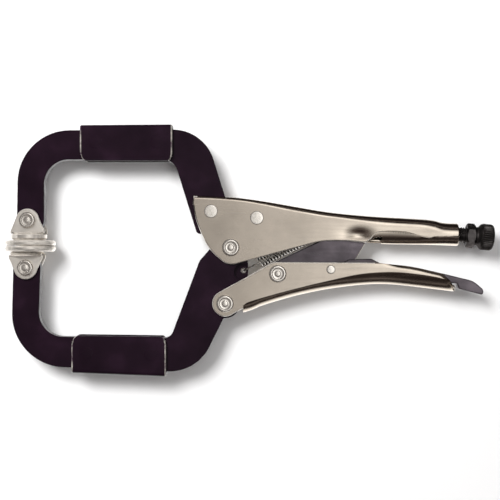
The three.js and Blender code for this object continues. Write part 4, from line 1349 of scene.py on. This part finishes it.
class PliersColours(bpy.types.PropertyGroup):
    """Colours of the five finishes and the floor."""

    coat: FloatVectorProperty(
        name="Jaw coat", description="Satin coat on the jaws and sleeves",
        default=(0.0105, 0.0045, 0.0092), min=0, max=1, size=3, subtype="COLOR",
    )
    nickel: FloatVectorProperty(
        name="Satin nickel", description="Plating of the two folded handles",
        default=(0.53, 0.465, 0.39), min=0, max=1, size=3, subtype="COLOR",
    )
    # This colour is also the base of the painted highlights on rims and sleeve edges.
    bright: FloatVectorProperty(
        name="Bright nickel", description="Plating of the rivets, swivel pads and spring",
        default=(0.82, 0.77, 0.7), min=0, max=1, size=3, subtype="COLOR",
    )
    oxide: FloatVectorProperty(
        name="Black oxide", description="Finish of the adjusting screw and its nut",
        default=(0.075, 0.068, 0.066), min=0, max=1, size=3, subtype="COLOR",
    )
    steel: FloatVectorProperty(
        name="Dark steel", description="Toggle link and release lever",
        default=(0.11, 0.095, 0.105), min=0, max=1, size=3, subtype="COLOR",
    )
    floor: FloatVectorProperty(
        name="Floor", description="The pale floor that the tool lies on",
        default=(0.9, 0.9, 0.9), min=0, max=1, size=3, subtype="COLOR",
    )


# ------------------------------------------------------------------ operators
class PLIERS_OT_jaws(bpy.types.Operator):
    """Builds the two forged jaws."""

    bl_idname = "pliers.jaws"
    bl_label = "Jaws"

    def execute(self, context):
        sizes = context.scene.pliers_sizes
        half = sizes.jaw_thickness / MM / 2
        edge = sizes.forged_edge / MM
        coat = finish(context, "black_coat")
        upper = plate(upper_jaw_outline(), -half, half, edge)
        to_row(upper)
        piece("jaw_upper", upper, "frame", "upper_jaw", coat)
        lower = plate(lower_jaw_outline(), -half, half, edge)
        near = plate(circle(LUG_RECESS, LUG_RADIUS), LUG_HALF, 8, edge=CUT_EDGE)
        far = plate(circle(LUG_RECESS, LUG_RADIUS), -8, -LUG_HALF, edge=CUT_EDGE)
        eye = plate(circle(SPRING_HOOK, HOOK_HOLE), -8, 8, edge=CUT_EDGE)
        lower = cut(lower, near, far, eye)
        to_row(lower)
        piece("jaw_lower", lower, "moving_jaw", "lower_jaw", coat)
        return {"FINISHED"}


class PLIERS_OT_sleeves(bpy.types.Operator):
    """Builds the folded sleeves on the jaw bars and their flush rivets."""

    bl_idname = "pliers.sleeves"
    bl_label = "Sleeves"

    def execute(self, context):
        coat, sleeve_highlight = finish(context, "black_coat"), finish(context, "painted_edge_highlight")
        upper_middle = lambda x: THROAT_RISE + BAR_WIDTH / 2 + 1.1
        lower_middle = lambda x: (LOWER_BAR_INNER(x) + LOWER_BAR_OUTER(x)) / 2
        upper_free = lambda x: THROAT_RISE - 1.0
        lower_free = lambda x: LOWER_BAR_INNER(x) + 1.0
        rows = (
            ("upper", "frame", UPPER_SLEEVE, upper_free, UPPER_BAR_OUTER, 1, upper_middle),
            ("lower", "moving_jaw", LOWER_SLEEVE, lower_free, LOWER_BAR_OUTER, -1, lower_middle),
        )
        for level, body, ends, free, bar_edge, outward, middle in rows:
            sections = sleeve_sections(ends, free, bar_edge, outward)
            mesh = folded(sections, SLEEVE_SHEET, 0.8, SLEEVE_END_RIM)
            to_row(mesh)
            # The sleeve's end rims take a painted highlight, a lighter metal standing in for the light
            # they catch.
            at_end = lambda face: 0.3 < abs(face.normal.x) < 0.97 and abs(face.normal.z) > 0.2
            node = f"{level}_jaw_sleeve"
            piece(f"sleeve_{level}", mesh, body, node, coat, sleeve_highlight, at_end)
            for side, spot in zip(("left", "right"), sleeve_rivet_spots(ends, middle)):
                head = flush_rivet_mesh(3.9, JAW_HALF + GAP + SLEEVE_SHEET, 0.16)
                to_row(head, spot)
                node = f"{level}_sleeve_rivet_{side}"
                # The rivet heads' sloping rims take the same painted highlight.
                steep = lambda face: 0.3 < abs(face.normal.z) < 0.85
                name = f"rivet_{level}_sleeve_{side}"
                piece(name, head, body, node, coat, sleeve_highlight, steep)
        return {"FINISHED"}


def from_pivot(face):
    """A face's middle seen from the jaw pivot, in millimetres."""
    return (face.center - JAW_PIVOT) / MM


def ground(face):
    """Whether a face slopes like a ground rim on the near, upward side, where rims take a painted
    highlight.
    """
    return 0.2 < face.normal.z < 0.88


def upper_rim(face):
    """Whether a face of the upper handle lies on the ground rim of its near cheek, which takes a
    painted highlight.
    """
    if not ground(face):
        return False
    x, y, z = from_pivot(face)
    if z < 5 or x > HANDLE_LENGTH - 1 or x < -20.5:
        return z >= 5
    if x > TUBE_START:
        return abs(y - SEAM(x)) < 0.9
    return y < HANDLE_TOP(x) - 6


def lower_rim(face):
    """Whether a face of the lower handle lies on the ground rim of its near cheek, which takes a
    painted highlight.
    """
    if not ground(face):
        return False
    x, y, z = from_pivot(face)
    if z < 5 or x < WEB_START:
        return z >= 5
    return x > LOWER_REACH - 1.2 or (x < 88 and y > CREASE(x) + 1)


class PLIERS_OT_handles(bpy.types.Operator):
    """Builds the two folded sheet handles."""

    bl_idname = "pliers.handles"
    bl_label = "Handles"

    def execute(self, context):
        # The near cheeks' ground rims take a painted highlight, a brighter metal standing in for the
        # light they catch.
        nickel, rim = finish(context, "satin_nickel"), finish(context, "painted_rim_highlight")
        upper = upper_handle_mesh()
        to_row(upper)
        piece("handle_upper", upper, "frame", "upper_handle", nickel, rim, upper_rim)
        lower = lower_handle_mesh()
        to_row(lower)
        piece("handle_lower", lower, "moving_handle", "lower_handle", nickel, rim, lower_rim)
        return {"FINISHED"}


class PLIERS_OT_rivets(bpy.types.Operator):
    """Builds the pivot rivets, pad rivets, lever pin and flush cheek rivets."""

    bl_idname = "pliers.rivets"
    bl_label = "Rivets"

    def execute(self, context):
        bright = finish(context, "bright_nickel")
        radius = context.scene.pliers_sizes.rivet_radius / MM
        pad_seat = JAW_HALF + GAP + SHEET
        rows = (
            ("rivet_jaw_pivot", "jaw_pivot_rivet", "frame", (0, 0), radius, 2.3, CHEEK_OUTER),
            ("rivet_handle_pivot", "handle_pivot_rivet", "moving_jaw", HANDLE_PIVOT, radius, 2.3,
             CHEEK_OUTER),
            ("rivet_link_pivot", "link_pivot_rivet", "moving_handle", LINK_PIVOT, radius, 2.3,
             CHEEK_OUTER),
            ("rivet_upper_pad", "upper_pad_rivet", "frame", UPPER_PAD, 5.0, 2.1, pad_seat),
            ("rivet_lower_pad", "lower_pad_rivet", "moving_jaw", LOWER_PAD, 5.0, 2.1, pad_seat),
            ("pin_release_lever", "release_lever_pin", "moving_handle", LEVER_PIN, 2.7, 1.2,
             CHEEK_OUTER),
        )
        for name, node, body, spot, head, rise, seat in rows:
            mesh = rivet_mesh(seat, head, rise, dish=head > 3)
            to_row(mesh, spot)
            piece(name, mesh, body, node, bright)
        for side, spot in zip(("front", "rear"), CHEEK_RIVETS):
            mesh = flush_rivet_mesh(4.1, CHEEK_OUTER, 0.35)
            to_row(mesh, spot)
            node = f"cheek_rivet_{side}"
            piece(f"rivet_cheek_{side}", mesh, "frame", node, bright)
        return {"FINISHED"}


class PLIERS_OT_pads(bpy.types.Operator):
    """Builds the two swivel pads."""

    bl_idname = "pliers.pads"
    bl_label = "Swivel pads"

    def execute(self, context):
        bright, rim = finish(context, "pad_nickel"), finish(context, "painted_rim_highlight")
        rows = (
            ("pad_upper", "upper_swivel_pad", "upper_pad", UPPER_PAD, 15.5, 8.2, False),
            ("pad_lower", "lower_swivel_pad", "lower_pad", LOWER_PAD, 13.1, 6.2, True),
        )
        for name, node, body, spot, height, ring, flip in rows:
            mesh = pad_mesh(spot, height, ring, flip)
            to_row(mesh, spot)
            # The ears' near rims take a painted highlight.
            ear_rim = lambda face: ground(face) and from_pivot(face).z > 5.5
            piece(name, mesh, body, node, bright, rim, ear_rim)
        return {"FINISHED"}


class PLIERS_OT_linkage(bpy.types.Operator):
    """Builds the toggle link and the release lever between the handles."""

    bl_idname = "pliers.linkage"
    bl_label = "Link and lever"

    def execute(self, context):
        steel = finish(context, "dark_steel")
        mesh, angle = link_mesh()
        to_row(mesh, LINK_PIVOT, Matrix.Rotation(angle, 4, "Z"))
        # The link's rear rim takes a painted highlight, a brighter metal on the dark steel.
        rear = lambda face: ground(face) and face.normal.x > 0.3 and from_pivot(face).x > 66
        rim = finish(context, "painted_rim_highlight")
        piece("link_toggle", mesh, "link", "toggle_link", steel, rim, rear)
        lever = lever_mesh()
        to_row(lever)
        piece("lever_release", lever, "lever", "release_lever", steel)
        return {"FINISHED"}


class PLIERS_OT_screw(bpy.types.Operator):
    """Builds the adjusting screw with its knurled knob, and the lock nut."""

    bl_idname = "pliers.screw"
    bl_label = "Adjusting screw"

    def execute(self, context):
        oxide = finish(context, "black_oxide")
        turn = Matrix.Rotation(-SCREW_TILT, 4, "Z") @ TO_X
        spot = (HANDLE_LENGTH, TUBE_CENTRE_Y)
        for name, node, body, mesh in (
            ("screw_adjusting", "adjusting_screw", "screw", screw_mesh()),
            ("nut_lock", "lock_nut", "nut", nut_mesh()),
        ):
            to_row(mesh, spot, turn)
            piece(name, mesh, body, node, oxide)
        return {"FINISHED"}


class PLIERS_OT_spring(bpy.types.Operator):
    """Builds the tension spring, hung between the upper handle and the lower jaw."""

    bl_idname = "pliers.spring"
    bl_label = "Tension spring"

    def execute(self, context):
        wire = context.scene.pliers_sizes.spring_wire / MM
        mesh = wire_mesh(spring_line(), wire / 2)
        to_row(mesh, SPRING_HOOK, Matrix.Rotation(spring_way(), 4, "Z"))
        steel = finish(context, "spring_steel")
        made = piece("spring_tension", mesh, None, "tension_spring", steel)
        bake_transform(made)
        return {"FINISHED"}


def area_light(name, place, size, power):
    """A square light aimed at the tool, which the metal doesn't mirror."""
    data = bpy.data.lights.new(name, "AREA")
    data.size = size
    data.energy = power
    lamp = bpy.data.objects.new(name, data)
    lamp.visible_glossy = False
    bpy.context.scene.collection.objects.link(lamp)
    lamp.location = place
    lamp.rotation_euler = (-Vector(place)).to_track_quat("-Z", "Y").to_euler()


# Soft patches of the studio seen in the metal: direction, then (cosine, brightness) stops.
PATCHES = (
    ((0.24, 0.0, 0.97), (
        (0.0, 0.008), (0.34, 0.012), (0.4, 0.12), (0.46, 0.12), (0.52, 0.012), (0.8, 0.014),
        (0.9, 0.08), (0.945, 0.26), (0.972, 0.35), (0.99, 0.72), (1.0, 1.0),
    )),
    ((0.0, -0.35, -0.94), ((0.0, 0.0), (0.36, 0.01), (0.52, 0.55), (0.8, 1.0))),
    ((0.12, 0.42, 0.9), ((0.0, 0.0), (0.95, 0.0), (0.98, 0.6), (1.0, 1.0))),
)
STUDIO_STRENGTH = 2.0
LIGHTS = (
    ("key", (-0.48, 0.5, 1.05), 0.5, 19),
    ("fill", (0.3, -0.3, 1.3), 0.8, 2.5),
)
CAMERA_SHIFT = (0.00013, 0.00025)
SENSOR = 36
VIEW_WIDTH = 0.3065


def studio_world():
    """A soft light overhead, paler low sides towards the viewer, and dark between them."""
    world = bpy.data.worlds.new("studio")
    bpy.context.scene.world = world
    world.use_nodes = True
    tree = world.node_tree
    tree.nodes.clear()
    where = tree.nodes.new("ShaderNodeTexCoord")
    total = None
    for way, stops in PATCHES:
        facing = tree.nodes.new("ShaderNodeVectorMath")
        facing.operation = "DOT_PRODUCT"
        facing.inputs[1].default_value = Vector(way).normalized()
        ramp = tree.nodes.new("ShaderNodeValToRGB")
        elements = ramp.color_ramp.elements
        elements[0].position, elements[0].color = stops[0][0], warm(stops[0][1])
        elements[1].position, elements[1].color = stops[-1][0], warm(stops[-1][1])
        for place, brightness in stops[1:-1]:
            elements.new(place).color = warm(brightness)
        tree.links.new(where.outputs["Generated"], facing.inputs[0])
        tree.links.new(facing.outputs["Value"], ramp.inputs["Fac"])
        if total is None:
            total = ramp.outputs["Color"]
            continue
        both = tree.nodes.new("ShaderNodeVectorMath")
        both.operation = "ADD"
        tree.links.new(total, both.inputs[0])
        tree.links.new(ramp.outputs["Color"], both.inputs[1])
        total = both.outputs["Vector"]
    background = tree.nodes.new("ShaderNodeBackground")
    output = tree.nodes.new("ShaderNodeOutputWorld")
    tree.links.new(total, background.inputs["Color"])
    tree.links.new(background.outputs["Background"], output.inputs["Surface"])
    background.inputs["Strength"].default_value = STUDIO_STRENGTH


def warm(brightness):
    """A grey that turns brown as it gets darker."""
    brown = 1 - min(1.0, brightness / 0.2)
    return (brightness, brightness * (1 - 0.3 * brown), brightness * (1 - 0.36 * brown), 1)


class PLIERS_OT_stage(bpy.types.Operator):
    """Adds the camera, the pale floor and the studio light."""

    bl_idname = "pliers.stage"
    bl_label = "Stage"

    def execute(self, context):
        middle = JAW_PIVOT.z
        height = context.scene.pliers_sizes.camera_height
        data = bpy.data.cameras.new("camera")
        data.sensor_width = SENSOR
        data.lens = SENSOR * height / VIEW_WIDTH
        data.clip_end = 20
        camera = bpy.data.objects.new("camera", data)
        context.scene.collection.objects.link(camera)
        camera.location = (*CAMERA_SHIFT, middle + height)
        context.scene.camera = camera
        work = bmesh.new()
        bmesh.ops.create_grid(work, x_segments=24, y_segments=24, size=3)
        mesh = bpy.data.meshes.new("floor")
        work.to_mesh(mesh)
        work.free()
        recipe = Recipe("floor", 0.0)
        base = tuple(context.scene.pliers_colours.floor)
        recipe.colours(recipe.noise(5, 2), [(0.3, shade(base, 0.995)), (0.7, base)])
        recipe.roughness(recipe.ramp(recipe.noise(60, 3), 0.55, 0.65))
        mesh.materials.append(recipe.material)
        floor = bpy.data.objects.new("floor", mesh)
        context.scene.collection.objects.link(floor)
        floor.visible_glossy = False
        studio_world()
        context.scene.view_settings.view_transform = "Standard"
        for light in LIGHTS:
            area_light(*light)
        return {"FINISHED"}


class PLIERS_PT_panel(bpy.types.Panel):
    """Lists the pieces and their settings."""

    bl_label = "Locking pliers"
    bl_idname = "PLIERS_PT_panel"
    bl_space_type = "VIEW_3D"
    bl_region_type = "UI"
    bl_category = "Pliers"

    def draw(self, context):
        layout = self.layout
        for group in (context.scene.pliers_sizes, context.scene.pliers_colours):
            for name in group.__annotations__:
                layout.prop(group, name)
        for operator in OPERATORS:
            layout.operator(operator.bl_idname)


OPERATORS = (
    PLIERS_OT_stage,
    PLIERS_OT_jaws,
    PLIERS_OT_sleeves,
    PLIERS_OT_handles,
    PLIERS_OT_rivets,
    PLIERS_OT_pads,
    PLIERS_OT_linkage,
    PLIERS_OT_screw,
    PLIERS_OT_spring,
)
CLASSES = (PliersSizes, PliersColours, *OPERATORS, PLIERS_PT_panel)


def register():
    for item in CLASSES:
        bpy.utils.register_class(item)
    bpy.types.Scene.pliers_sizes = PointerProperty(type=PliersSizes)
    bpy.types.Scene.pliers_colours = PointerProperty(type=PliersColours)


def unregister():
    del bpy.types.Scene.pliers_colours
    del bpy.types.Scene.pliers_sizes
    for item in reversed(CLASSES):
        bpy.utils.unregister_class(item)


def main():
    register()
    for operator in OPERATORS:
        group, name = operator.bl_idname.split(".")
        getattr(getattr(bpy.ops, group), name)()


if __name__ == "__main__":
    main()
